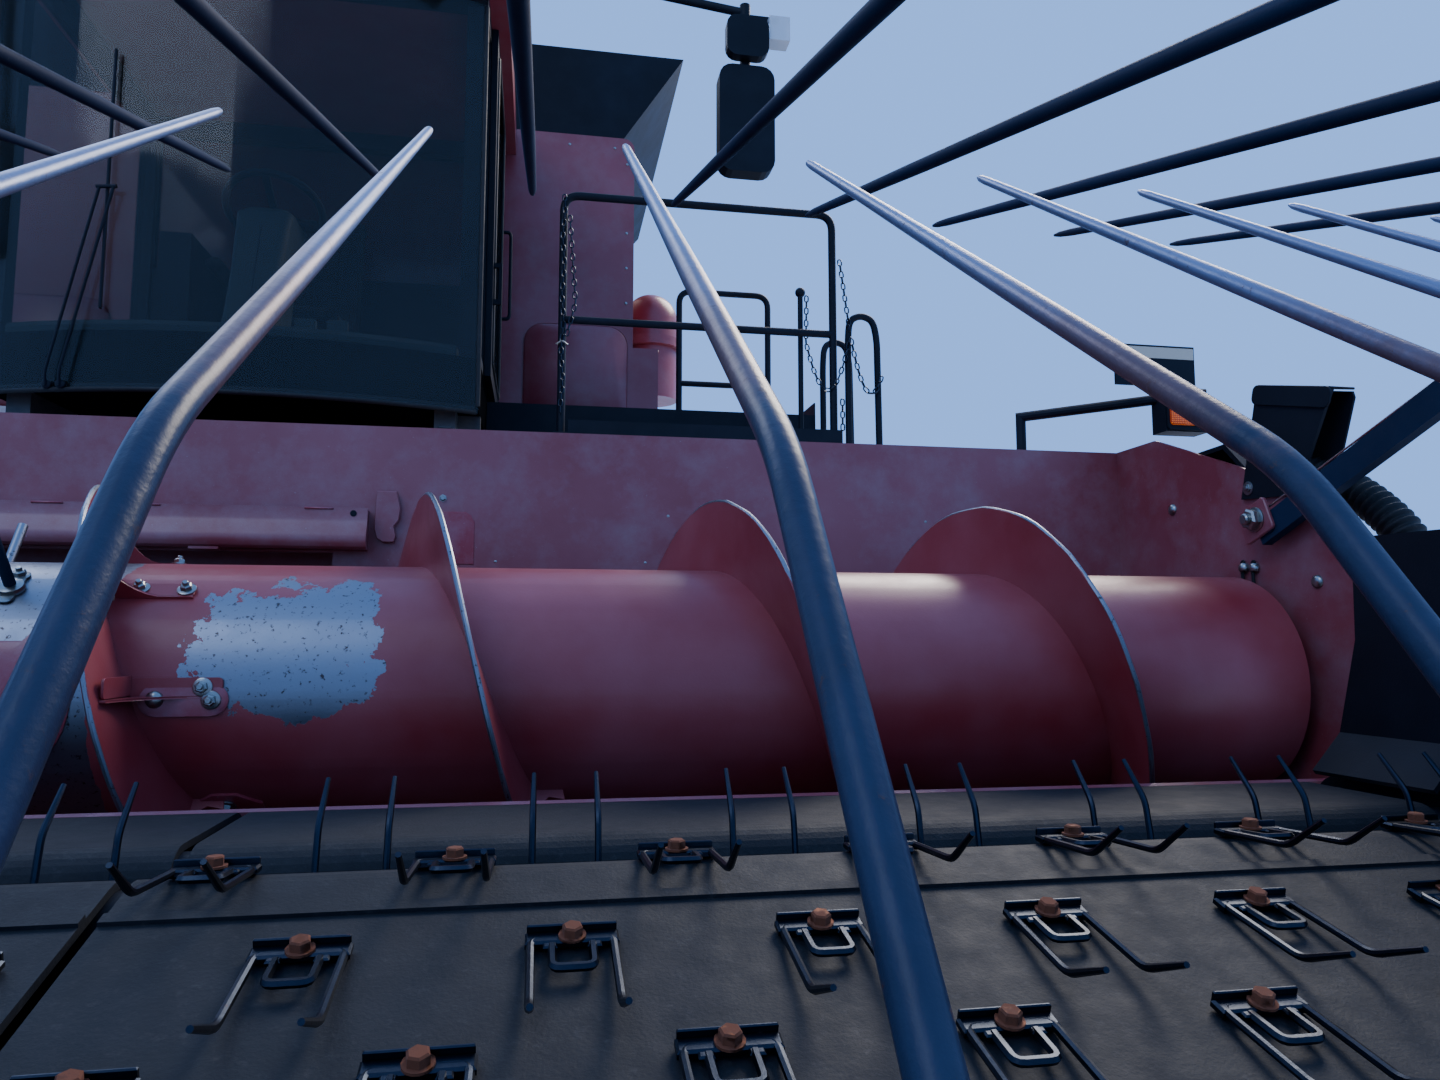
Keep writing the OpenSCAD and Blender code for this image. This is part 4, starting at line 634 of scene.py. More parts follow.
def rod_material():
    """Blue-grey paint up to the crank, then rust, then steel rubbed bright toward the tip."""
    mat, tree, shader = start_material("rod paint worn to steel at the tips", Specular_IOR_Level=0.2)
    along = unit(TIP - CRANK)
    parts = [sums(tree, "MULTIPLY", sums(tree, "SUBTRACT", socket, at), way)
             for socket, at, way in zip(object_axes(tree)[1:], CRANK, along)]
    past = sums(tree, "SUBTRACT", sums(tree, "ADD", *parts), 0.15)
    past = sums(tree, "MULTIPLY_ADD", grain(tree, 18, 8, 0.8), 0.3, past)
    wear = ramp(tree, past, [(0.06, 0), (0.26, 1)])
    rust = ramp(tree, past, [(0.0, 0), (0.1, 0.75), (0.2, 0.7), (0.42, 0)])
    paint = blend_colour(tree, grain(tree, 30, 6), "#2C3850", "#1A2334")
    colour = blend_colour(tree, wear, paint, "#7884A0")
    colour = blend_colour(tree, rust, colour, "#6B4A48")
    spots = ramp(tree, grain(tree, 60, 8, 0.75), [(0.6, 0), (0.68, 0.8)])
    colour = blend_colour(tree, spots, colour, "#5C3A2C")
    feed(tree, shader, Base_Color=colour, Metallic=sums(tree, "MULTIPLY", wear, 0.4),
         Roughness=sums(tree, "MULTIPLY_ADD", spots, 0.25, 0.36))
    bump(tree, shader, grain(tree, 120, 5), 0.0004)
    return mat


ROD_PAINT = rod_material()


def straight_rod(x):
    """From the cross tube's top straight back and up, thinner over the last tenth."""
    a = np.array([x, TUBE_Y, TUBE_Z + TUBE_R - 0.002])
    b = np.array([x, CAM_Y + 1.590, 1.422])
    path = a + (b - a) * np.r_[np.linspace(0, 0.97, 10), 0.99, 1.0][:, None]
    return tube(path, ROD_R * np.r_[np.ones(8), 0.92, 0.8, 0.62, 0.3], 12)


def cranked_rod(x):
    """Down from the cross tube, round 141 degrees of a 0.27 m arc, then cranked and up to the tip."""
    under = np.column_stack([np.full(22, x), arc(TUBE_Y + 0.27, 0.623, 0.27, 180, 321, 22)])
    crank = rounded([under[-1], [x, *CRANK], [x, *(CRANK + 0.3 * (TIP - CRANK))]], 0.03, 5)
    w = np.r_[np.linspace(0.4, 0.97, 7), 0.99, 1.0][:, None]
    end = np.column_stack([np.full(9, x), CRANK + w * (TIP - CRANK)])
    path = np.vstack([[[x, TUBE_Y, TUBE_Z - TUBE_R + 0.002]], under, crank[1:], end])
    taper = np.r_[np.ones(len(path) - 9), 0.95, 0.9, 0.85, 0.8, 0.75, 0.7, 0.66, 0.55, 0.25]
    return tube(path, ROD_R * taper, 12)


straight = [straight_rod(k * ROD_STEP + STRAIGHT_ASIDE) for k in ROD_ROW]
cranked = [cranked_rod(k * ROD_STEP + CRANKED_ASIDE) for k in ROD_ROW]
piece("straight_rods", joined(straight), ROD_STEEL, "windguard",
      stands_for=["windguard_rods"])
piece("cranked_rods", joined(cranked), ROD_PAINT, "windguard")
# Weld collars where the rods meet the cross tube
collar = [(0.013, -0.006), (0.0105, 0.006), (0.008, 0.010)]
collars = [turned(collar, 12, (0, 0, s), (k * ROD_STEP + aside, TUBE_Y, TUBE_Z + s * TUBE_R))
           for k in ROD_ROW for s, aside in ((1, STRAIGHT_ASIDE), (-1, CRANKED_ASIDE))]
piece("rod_welds", joined(collars), ROD_PAINT, "windguard")

# %% [markdown]
# Each half of the auger has one flight: a sheet pressed into a helix, a pitch of half a metre per
# turn, of the hand that carries the crop to the middle. A fine grid replaces the CAD's coarse one,
# whose facets would show in the gloss. Its root sinks a little into the drum, as the weld does.

# %% Flighting
FLIGHT_X0, FLIGHT_X1, FLIGHT_T, START_TURN = 0.36, 2.26, 0.008, -43 / 360


def helix(turn, r, x):
    """Point at radius r: the angle from the top is 360 (turn + START_TURN), x grows a pitch a turn."""
    a = 2 * np.pi * (turn + START_TURN)
    point = FLIGHT_X0 + PITCH * turn + x, AUGER_Y - r * np.sin(a), AUGER_Z + r * np.cos(a)
    return np.stack(np.broadcast_arrays(*point), -1)


def flight():
    """Sections across the sheet: root to rim on one face, back on the other, the rim's edges broken."""
    turn = np.linspace(0, (FLIGHT_X1 - FLIGHT_X0) / PITCH, 340)[:, None]
    up = [AUGER_R - 0.002, 0.235, 0.27, 0.30, FLIGHT_R - 0.0025, FLIGHT_R]
    r = np.array(up + up[::-1])
    x = np.array([0, 0, 0, 0, 0, 0.0025, 0.0055] + [FLIGHT_T] * 5)
    # A flight cut from plate is never quite flat: it waves by 2 mm and its rim is worn uneven
    wave = 0.002 * np.sin(turn * 13.0) * (r - AUGER_R) / 0.12
    worn = 0.0015 * (np.sin(turn * 31.0) + np.sin(turn * 83.0)) * (r > 0.31)
    lead = np.clip(turn / 0.09, 0, 1) ** 0.5
    reach = AUGER_R - 0.002 + (r - AUGER_R + 0.002) * (0.72 + 0.28 * lead) - np.abs(worn)
    return loft(helix(turn, reach, x + wave)[:, ::-1])


piece("flighting", both_sides(flight()), FLIGHTING, "auger", smooth=35,
      stands_for=["auger_flights"])


def on_drum(x, deg, height=0.0):
    """Point at a height over the drum's skin; deg goes up from the side that faces forward."""
    a, r = np.radians(deg), AUGER_R + np.asarray(height, float)
    return np.stack(np.broadcast_arrays(x, AUGER_Y - r * np.cos(a), AUGER_Z + r * np.sin(a)), -1)


def drum_place(x, deg, height=0.0):
    """Axes on the drum: along X, round the skin, outward."""
    a = math.radians(deg)
    return axes([1, 0, 0], [0, -math.cos(a), math.sin(a)], on_drum(x, deg, height))


def drum_plate(x, deg, outline, height, edge=0.0012):
    """A plate that hugs the drum: its outline (u along X, v round the skin) in shrinking rings."""
    o = np.asarray(outline, float)
    rings = [(1.0, -0.001), (1.0, height - edge)]
    rings += [(s, height) for s in (1 - edge / 0.03, 0.8, 0.6, 0.4, 0.2, 0.04)]
    return loft([on_drum(x + s * o[:, 0], deg + np.degrees(s * o[:, 1] / AUGER_R), h) for s, h in rings])


# %% [markdown]
# The fingers come out through the drum's bare middle. A round cover, notched at its top, closes the
# hole by which their crank is reached, and a lug with two bolts closes the smaller one beside it.
# Three folded gussets brace the inner end of each flight, where the crop pushes hardest.

# %% Covers, lugs and gussets on the drum
notch = [[0.066, 0.103], [0.050, 0.080], [-0.050, 0.080], [-0.066, 0.103]]
cover = np.vstack([notch, arc(0, 0, 0.122, 118, 422, 40)[1:-1]])
ear = np.vstack([arc(0.037, 0, 0.0235, -90, 90, 9), arc(-0.037, 0, -0.0235, -90, 90, 9)])
low_ear = np.array([[-0.05, -0.02], [0.05, -0.02], [0.05, 0.0], [0.018, 0.024], [-0.018, 0.024],
                    [-0.05, 0.0]])
covers = [drum_plate(0.355, 0, cover, 0.0035), drum_plate(0.6245, -1.6, ear, 0.004),
          drum_plate(0.667, -53, low_ear, 0.004)]
piece("drum_covers", both_sides(joined(covers)), DRUM_COVER, "auger", smooth=30)


def gusset(x, deg, leg=0.098, foot=0.125):
    """A folded sheet: a foot on the drum, a leg against the flight and a web between, hollow-edged."""
    place = drum_place(x, deg)
    w = np.linspace(0, 1, 9)
    hollow = np.column_stack([foot * 0.55 * (1 - w) ** 1.6 + 0.008, 0.004 + (leg - 0.004) * w**1.5])
    web = np.vstack([[[0, 0.0], [foot, 0.0], [foot, 0.0035]], hollow, [[0, leg]]])
    on_edge = frame_matrix(place[:3, 0], place[:3, 2], -place[:3, 1], place[:3, 3])
    foot_at = place.copy()
    foot_at[:3, 3] = on_drum(x + foot / 2, deg + 3.5, 0.0005)
    leg_at = frame_matrix(place[:3, 2], place[:3, 1], -place[:3, 0], on_drum(x + 0.004, deg + 3.5, leg / 2))
    sheets = [(web, on_edge), (round_outline(foot, 0.028, 0.007), foot_at),
              (round_outline(leg, 0.028, 0.007), leg_at)]
    return joined([plate(outline, 0.0035, at) for outline, at in sheets])


gussets = [gusset(x, deg) for x, deg in ((0.428, 97), (0.487, 45), (0.552, 0))]
piece("flight_gussets", both_sides(joined(gussets)), FLIGHTING, "auger", smooth=30)


def wear_tab(x):
    """A small triangle of plate that braces a flight low on the drum."""
    place = drum_place(x + FLIGHT_T, -50)
    on_edge = frame_matrix(place[:3, 0], place[:3, 2], -place[:3, 1], place[:3, 3])
    outline = [[-0.002, -0.002], [0.042, -0.002], [0.046, 0.018], [0.022, 0.012], [-0.002, 0.034]]
    return plate(outline, 0.004, on_edge)


tabs = [wear_tab(0.614 + PITCH * k) for k in range(4)]
piece("wear_tabs", both_sides(joined(tabs)), FLIGHTING, "auger", smooth=30)
BOLTED = ((0.662, -1.6, 0.004), (0.667, -54, 0.004), (0.359, 58.5, 0.001), (0.535, 49, 0.004),
          (0.60, 48.5, 0.004), (0.53, 100.5, 0.004), (0.65, 3.5, 0.004))
drum_bolts = [drum_place(x, deg, height) for x, deg, height in BOLTED]
for r_out, deg in ((0.05, 33.5), (0.075, 29)):
    x = 0.511 + PITCH * (33.5 - deg) / 360 + 0.001
    drum_bolts.append(axes([0, 0, 1], [1, 0, 0], on_drum(x, deg, r_out)))
domes = [drum_place(0.587, -1.2, 0.004)]
for t in np.radians([-36, 36, 144, 216]):
    deg = math.degrees(0.108 * math.sin(t) / AUGER_R)
    domes.append(drum_place(0.355 + 0.108 * math.cos(t), deg, 0.003))
drum_bolts = joined([placed(WASHER_BOLT, drum_bolts), placed(DOME_HEAD, domes)])
piece("drum_bolts", both_sides(drum_bolts), ZINC, "auger", smooth=30)

# %% [markdown]
# Each finger slides in an eye that is screwed to the drum: a nylon-lined ring in a pressed strap.
# The eyes sit at the CAD fingers' own places, and one more finger stands beside each flight's end.

# %% Finger eyes
finger_places = [(-0.286 + 0.052 * i, 150.0 * i) for i in range(12)]
eye_ring = turned([(0.0105, -0.002), (0.017, 0.0), (0.0185, 0.004), (0.017, 0.009), (0.0105, 0.011)], 20)
eye_strap = plate(round_outline(0.062, 0.022, 0.009), 0.003, np.eye(4))
eyes = []
for x, from_back in finger_places:
    a = math.radians(from_back)
    out = np.array([0, math.cos(a), math.sin(a)])
    place = axes([1, 0, 0], out, np.array([x, AUGER_Y, AUGER_Z]) + AUGER_R * out)
    eyes += [one(eye_ring, place), one(eye_strap, place)]
side_finger = drum_place(0.361, 49)
across = axes([0, 1, 0], [0, 0, 1], [0, 0, 0])
side_eye = joined([one(eye_ring, side_finger), one(eye_strap, side_finger @ across)])
finger = one(turned([(0.008, -0.004), (0.008, 0.100), (0.0075, 0.114), (0.005, 0.119)], 16), side_finger)
piece("finger_eyes", joined(eyes + [both_sides(side_eye)]), ZINC, "auger", smooth=35)
piece("side_fingers", both_sides(finger), ROD_STEEL, "auger", smooth=35)

# %% [markdown]
# At each end of the header a folded stop stands beside the windguard's arm: a front plate, a flange
# over its top with rounded corners and a second plate behind. The fold makes thin sheet stiff. Both
# plates are held by bolts with wide washers, since the holes in the end sheet are slotted.

# %% Windguard stops
END_X = 2.492
stop_out, stop_up = np.array([0.0, 0.9664, 0.2573]), np.array([0.0, -0.2573, 0.9664])
STOP_TOP = np.array([0.0, AUGER_Y - 0.170, 1.1645])


def stop_part(x, down, outline, thick):
    """A flat part of the stop: its outline lies along the top edge, down from it, at the given X."""
    place = frame_matrix(stop_out, stop_up, [1.0, 0.0, 0.0], STOP_TOP - down * stop_up + [x, 0, 0])
    return plate(outline, thick, place)


behind = [[-0.085, -0.150], [0.055, -0.150], [0.085, -0.01], [0.092, 0.0], [-0.092, 0.0], [-0.098, -0.01]]
stop = [stop_part(2.4808, 0.015, round_outline(0.198, 0.037, 0.012), 0.0045),
        stop_part(2.4855, -0.002, round_outline(0.186, 0.0045, 0.002, 2), 0.050),
        stop_part(2.5310, 0.003, behind, 0.0045)]
piece("windguard_stops", both_sides(joined(stop)), BLACK, "feeder", smooth=30)


def facing_in(y, z, x=END_X):
    """A place on a left-hand sheet's inner face: the part's own Z points to the machine's middle."""
    return axes([0, 1, 0], [-1, 0, 0], [x, AUGER_Y + y, z])


# The raised arm passes 7 mm from the stop, so its bolts have thin heads
THIN_BOLT = (WASHER_BOLT[0] * [1.0, 1.0, 0.4], WASHER_BOLT[1])
stop_bolts = placed(THIN_BOLT, [facing_in(y, z, 2.4855) for y, z in ((-0.0414, 0.9956), (-0.1539, 0.9755))])
rivet_places = ((-0.1972, 0.8037), (0.205, 0.985), (0.120, 0.720), (0.12, 0.40))
rivets = placed(DOME_HEAD, [facing_in(y, z) for y, z in rivet_places])
piece("end_sheet_bolts", both_sides(joined([stop_bolts, rivets])), ZINC, "feeder", smooth=30)

# %% [markdown]
# The windguard's arm turns on a pin held by a heavy nut on a washer, with a small red clevis block
# round the arm's end. The straw that slides over the arm keeps its upper edge bright.

# %% Windguard pivots
nut = joined([turned([(0.0235, 0), (0.0235, 0.003), (0.021, 0.004)], 24),
              turned([(0.019, 0.004), (0.0205, 0.007), (0.0205, 0.0155), (0.0165, 0.019)], 6),
              turned([(0.011, 0.019), (0.011, 0.025), (0.0085, 0.0275)], 16)])
ARM_END, ARM_TOP = np.array([AUGER_Y - 0.071, 0.913]), np.array([AUGER_Y - 0.98, 1.275])
arm_along = np.array([0.0, *unit(ARM_END - ARM_TOP)])
arm_over = np.array([0.0, -arm_along[2], arm_along[1]])
block_place = frame_matrix(arm_along, arm_over, [1, 0, 0], [2.4495, AUGER_Y - 0.098, 0.9235])
piece("pivot_nuts", both_sides(one(nut, facing_in(-0.101, 0.926, 2.4500))), ZINC, "windguard",
      smooth=30)
block = plate(round_outline(0.078, 0.066, 0.008), 0.0080, block_place, 0.002)
piece("pivot_clevises", both_sides(block), RED, "windguard", smooth=30)
edge = [np.array([2.4600, *(ARM_END + w * (ARM_TOP - ARM_END))]) + 0.0118 * arm_over
        for w in (0.06, 0.3, 0.6, 0.98)]
piece("arm_bright_edges", both_sides(tube(edge, 0.0019, 8)), BARE_STEEL, "windguard")

# %% [markdown]
# Two domed knobs on the left sheet end short rubber straps: they hold the crop-lifting tools, and a
# strap of rubber needs no spring. The tool itself isn't fitted.

# %% Strap knobs
knob = turned([(0.0115, 0), (0.0118, 0.003), (0.0108, 0.007), (0.0075, 0.011), (0.0025, 0.0125)], 20)
STRAPS = ((-0.0144, 0.8408, 0.050), (-0.0434, 0.8387, 0.078))
piece("strap_knobs", placed(knob, [facing_in(y, z) for y, z, _ in STRAPS]), ZINC, "feeder")
straps = []
for y, z, length in STRAPS:
    w = np.linspace(0, 1, 9)[:, None]
    start, drop = np.array([2.4845, AUGER_Y + y, z - 0.009]), [0.0035, -0.008, -length]
    straps.append(tube(start + w * drop + np.sin(w * np.pi) * [0, 0.003, 0], 0.0033, 8))
    eye = [[2.4868, AUGER_Y + y + dy, z + dz]
           for dy, dz in ((0.006, 0), (0.003, 0.014), (-0.003, 0.014), (-0.006, 0))]
    straps.append(tube(rounded(eye, 0.004), 0.0024, 6))
piece("straps", joined(straps), HOSE_RUBBER, "feeder")

# %% [markdown]
# Marker lamps: a shell moulded of black plastic with a lens of amber acrylic, whose inner face is a
# square grid that spreads the light. Above it stands a black board with one pale reflecting band.

# %% Marker lamps
def gridded_lens():
    """Amber whose glow falls at the lines of a 4.2 mm square grid, and which rises between them."""
    mat, tree, shader = start_material("amber acrylic with a square grid", Roughness=0.22, IOR=1.49,
                                       Emission_Strength=0.5)
    xyz = object_axes(tree)
    cells = [sums(tree, "PINGPONG", sums(tree, "MULTIPLY", xyz[k], 1 / 0.0042), 0.5) for k in (0, 2)]
    height = sums(tree, "MINIMUM", *[sums(tree, "MULTIPLY", cell, 2.0) for cell in cells])
    glow = ramp(tree, height, [(0.12, paint_card("#7A2C10")), (0.4, paint_card("#C9480C")),
                               (0.9, paint_card("#F08A1A"))])
    feed(tree, shader, Base_Color=glow, Emission_Color=glow)
    bump(tree, shader, height, 0.0012)
    return mat


AMBER_LENS = gridded_lens()
LAMP_FACE = AUGER_Y + 0.220


def lamp_outline(shrink):
    """The shell seen from ahead: square above, its lower corners cut off, made smaller all round."""
    corners = [[-0.046, -0.048], [0.030, -0.048], [0.051, -0.026], [0.051, 0.048], [-0.051, 0.048],
               [-0.051, -0.040]]
    return np.array(corners) * shrink


lamp_place = facing_ahead([2.5475, LAMP_FACE, 1.215])
shell = plate(lamp_outline(1.0), 0.0045, lamp_place, 0.002)
levels = [(0.80, 0.0046), (0.80, 0.008), (0.76, 0.0105), (0.62, 0.0125), (0.30, 0.0135)]
dome = np.array([np.column_stack([lamp_outline(s) + [-0.004, 0.002], np.full(6, h)]) for s, h in levels])
dome = loft(dome @ lamp_place[:3, :3].T + lamp_place[:3, 3])
piece("marker_lamp_shells", both_sides(shell), BLACK, "feeder", smooth=30)
piece("marker_lenses", both_sides(dome), AMBER_LENS, "feeder", smooth=50)
PALE_BAND = enamel("pale cream reflecting film", "#B8AA94", "#C4B8A4", "#8A8070", 0.3, 0.4, coat=0.3)
band_place = facing_ahead([2.495, AUGER_Y + 0.2502, 1.3525])
band = plate(round_outline(0.196, 0.026, 0.002, 2), 0.0012, band_place, 0.0003)
piece("reflector_bands", both_sides(band), PALE_BAND, "feeder", smooth=30)

# %% [markdown]
# Along the header's back, above the feeder's mouth, runs a pressed bar: a lip, a face tilted to the
# sky and an edge rolled under. Pressing ribs into thin sheet keeps it straight over a metre and a
# half. A seam shows where the beam's lower sheet meets it, with short tabs through slots.

# %% Pressed bar over the feeder's mouth
BAR_HALF = 0.7745
bar_profile = [[0.3660, 0.9690], [0.3622, 0.9685], [0.3618, 0.9450], [0.3595, 0.9390], [0.3500, 0.9130],
               [0.3475, 0.9050], [0.3480, 0.8960], [0.3520, 0.8880], [0.3590, 0.8835], [0.3660, 0.8830]]


def along_x(profile, xs):
    """The profile (y from the auger, z) drawn out along X."""
    p = np.asarray(profile, float)[::-1]
    return loft([np.column_stack([np.full(len(p), x), AUGER_Y + p[:, 0], p[:, 1]]) for x in xs])


notch = [[0.3665, 0.8850], [0.3540, 0.8845], [0.3540, 0.8795], [0.3665, 0.8795]]
notches = [along_x(notch, (x, x + 0.055)) for x in (0.44, -0.30, -0.62)]
bar = along_x(bar_profile, np.linspace(-BAR_HALF, BAR_HALF, 13))
piece("pressed_bar", joined([bar, *notches]), RED, "feeder", smooth=28)
# The seam's strip along the beam's lower lip is pale cream: a painted highlight of the lip's lit edge, not
# the sheet's own colour.
seam = slab([-2.30, BEAM_Y - 0.0055, 0.9935], [2.30, BEAM_Y - 0.001, 0.9970], 0.0004)
piece("beam_seam_painted_highlight", seam, PALE_BAND, "feeder", smooth=0)
tabs = [slab([x - 0.028, AUGER_Y + 0.3600, 0.9640], [x + 0.028, AUGER_Y + 0.3640, 0.9685], 0.001)
        for x in (-0.68, -0.35, 0.18, 0.355, 0.68)]
piece("bar_tabs", joined(tabs), DRUM_COVER, "feeder", smooth=0)
# The bar's hole is not cut: a black disc on its face is painted shade for the hole's dark inside.
hole_at = (0.747, AUGER_Y + 0.3619, 0.957)
hole = turned([(0.0065, 0), (0.0065, 0.0010), (0.004, 0.0011)], 16, (0, -1, 0), hole_at)
piece("bar_hole_painted_shade", both_sides(hole), BLACK, "feeder")

# %% [markdown]
# Beside the mouth are a lifting hook cut from plate, a worn guide plate and a zinc-plated strap over
# the beam. Screws with domed heads hold the lower sheet, and a welded seam closes the corner.

# %% Hooks, straps and screws beside the mouth
hook = [[0.786, 1.010], [0.782, 0.930], [0.788, 0.910], [0.800, 0.902], [0.822, 0.902],
        [0.826, 0.915], [0.822, 0.935], [0.832, 0.950], [0.834, 0.975], [0.826, 1.010]]
hook = plate(hook, 0.012, facing_ahead([0, AUGER_Y + 0.408, 0]), 0.002)
piece("lifting_hooks", both_sides(hook), RED, "feeder", smooth=30)
guide = [[0.896, 0.859], [0.985, 0.859], [0.985, 0.950], [0.978, 0.964], [0.966, 0.971], [0.896, 0.971]]
guide = plate(guide, 0.006, facing_ahead([0, AUGER_Y + 0.4165, 0]), 0.0015)
piece("guide_plates", both_sides(guide), DRUM_COVER, "feeder", smooth=30)
strap = joined([slab([0.9055, BEAM_Y - 0.0068, 0.985], [0.9305, BEAM_Y + 0.001, 1.1535], 0.0008),
                slab([0.9055, BEAM_Y - 0.0068, 1.1495], [0.9305, BEAM_Y + 0.126, 1.1535], 0.0008)])
bolt_profile = [(0.0095, 0), (0.0095, 0.0015), (0.007, 0.0017), (0.007, 0.006), (0.005, 0.0075)]
strap_bolt = turned(bolt_profile, 6, (0, -1, 0), (0.918, BEAM_Y - 0.0064, 1.000))
piece("beam_straps", both_sides(joined([strap, strap_bolt])), ZINC, "feeder", smooth=30)
screw_at = [(0.845, 0.868), (1.03, 0.866), (1.35, 0.868), (1.70, 0.868), (2.05, 0.868), (2.32, 0.868),
            (1.40, 0.972), (2.00, 0.972)]
screw_profile = [(0.0075, 0), (0.0072, 0.002), (0.0045, 0.0042), (0.001, 0.005)]
screws = [turned(screw_profile, 14, (0, -1, 0), (x, AUGER_Y + 0.4165, z)) for x, z in screw_at]
piece("back_wall_screws", both_sides(joined(screws)), ZINC, "feeder", smooth=30)
k = np.arange(82)
wander = 0.0008 * np.array([np.sin(k * 2.1), np.cos(k * 1.7)])
line = np.column_stack([2.4885 + wander[0], AUGER_Y + 0.4165 + wander[1], 0.30 + 0.0085 * k])
weld = tube(line, 0.0042 + 0.0007 * np.sin(k * 1.9), 8)
piece("corner_welds", both_sides(weld), RED, "feeder")

# %% [markdown]
# The cab's front glass is one curved pane. It sits on a rubber seal, with a black printed band
# along its foot that hides the glue from the sun. The arc runs through the two front corners.

# %% Seals of the front glass
CAB_X, CAB_Y0, SCREEN_DEPTH = 0.88, -1.01, 0.18
SCREEN_R = (CAB_X**2 + SCREEN_DEPTH**2) / (2 * SCREEN_DEPTH)


def screen(x, out=0.0):
    """y of the glass's outer face at x: a circle through the corners, 180 mm deep at the middle."""
    return CAB_Y0 - SCREEN_DEPTH + SCREEN_R - np.sqrt((SCREEN_R + out) ** 2 - np.asarray(x) ** 2)


def screen_line(z, out):
    """33 points across the glass at height z, by the circle of screen(x, out)."""
    x = np.linspace(-0.872, 0.872, 33)
    return np.column_stack([x, screen(x, out), np.full(33, z)])


band_out, band_z = np.array([-0.0095, -0.0125, -0.0125, -0.0095]), [1.571, 1.571, 1.628, 1.628]
foot_band = [np.column_stack([np.full(4, x), screen(x, band_out), band_z])
             for x in np.linspace(-0.868, 0.868, 33)]
seals = [tube(screen_line(1.5745, 0.0015), 0.0075, 8), tube(screen_line(1.5745, -0.0095), 0.0075, 8),
         loft(foot_band)]
seals += [tube([[s * 0.877, CAB_Y0 + 0.003, z] for z in (1.60, 2.2, 2.8, 3.24)], 0.010, 10)
          for s in (-1, 1)]
piece("screen_seals", joined(seals), HOSE_RUBBER, "chassis")

# %% [markdown]
# Behind the glass are a moulded cowl, two pedals and the cover of the steering column, with a seam
# down its middle. Matt, dark plastic throws no reflection on the glass.

# %% Cab mouldings
MOULDING = enamel("grained dark cab plastic", "#1E2B2C", "#283637", "#3A4444", 0.3, 0.6, coat=0.0, ior=1.45,
                  gloss=0.35)
cowl_profile = [(0.035, 1.795), (0.030, 1.825), (0.045, 1.845), (0.14, 1.850), (0.20, 1.840), (0.20, 1.795)]
cowl = []
for x in np.linspace(-0.79, 0.79, 25):
    y = max(float(screen(x)) + 0.02, -1.17)
    cowl.append([[x, y + back, z] for back, z in cowl_profile])
COVER = [(1.80, 0.118, -0.93, -0.68), (1.86, 0.112, -0.925, -0.66), (1.95, 0.100, -0.895, -0.63),
         (2.15, 0.096, -0.84, -0.57), (2.36, 0.104, -0.775, -0.51), (2.43, 0.110, -0.745, -0.49),
         (2.455, 0.085, -0.72, -0.52)]
cover = []
for z, w, y0, y1 in COVER:
    o = round_outline(2 * w, y1 - y0, 0.035, 4)
    cover.append(np.column_stack([o[:, 0], o[:, 1] + (y0 + y1) / 2, np.full(len(o), z)]))
seam_line = [[0, -0.9315, 1.82], [0, -0.9265, 1.87], [0, -0.8965, 1.95], [0, -0.842, 2.15],
             [0, -0.777, 2.36]]
pedals = [slab([x - 0.04, -0.86, 1.84], [x + 0.04, -0.835, 1.96], 0.006) for x in (0.20, 0.32)]
piece("cab_cowl", joined([loft(cowl), *pedals]), MOULDING, "chassis", smooth=40)
piece("column_cover", loft(cover), MOULDING, "chassis", smooth=45)
piece("column_seam", tube(seam_line, 0.0015, 6), BLACK, "chassis")

# %% [markdown]
# Two parallel arms swing the long wiper so that its blade stays upright on the glass.

# %% Wiper
def on_screen(x, z, out):
    """A point ahead of the glass by out, at x and height z."""
    return np.array([x, float(screen(x)) - out, z])


arms, pivots = [], []
for x in (-0.585, -0.535):
    line = [on_screen(x, 1.585, 0.022), on_screen(x, 1.63, 0.030), on_screen(x + 0.15, 2.30, 0.028)]
    arms.append(tube(rounded(line, 0.02), 0.0055, 8))
    foot = on_screen(x, 1.590, 0.004)
    pivots.append(turned([(0.016, 0), (0.016, 0.012), (0.011, 0.016)], 18, (0, -1, 0), foot))
blade_line = np.array([on_screen(-0.41, z, 0.018) for z in np.linspace(1.86, 2.82, 9)])
blade = [tube(blade_line, 0.006, 8), tube(blade_line + [0, 0.008, 0], 0.003, 6),
         tube([on_screen(-0.445, 2.30, 0.028), on_screen(-0.375, 2.30, 0.028)], 0.007, 8)]
piece("wiper", joined([*arms, *blade, *pivots]), BLACK, "chassis")

# %% [markdown]
# The platform's rails are bent from one tube each, so their corners are wide arcs, and the middle
# rails are welded between the posts. Bent tube needs no joints at the corners, where hands slide.

# %% Platform rails and ladder
RAIL_Y, BACK_Y, DECK_Z, LANDING_Z = -0.81, 0.40, 1.7603, 1.5403


def bent(points, r, bend=0.07, sides=12):
    """A round bar of radius r along a polyline whose corners are bent over the length bend."""
    return tube(rounded(points, bend, 7), r, sides)


def hoop(x0, x1, y, low, high):
    """The corners of a rail that stands on two feet."""
    return [[x0, y, low], [x0, y, high], [x1, y, high], [x1, y, low]]


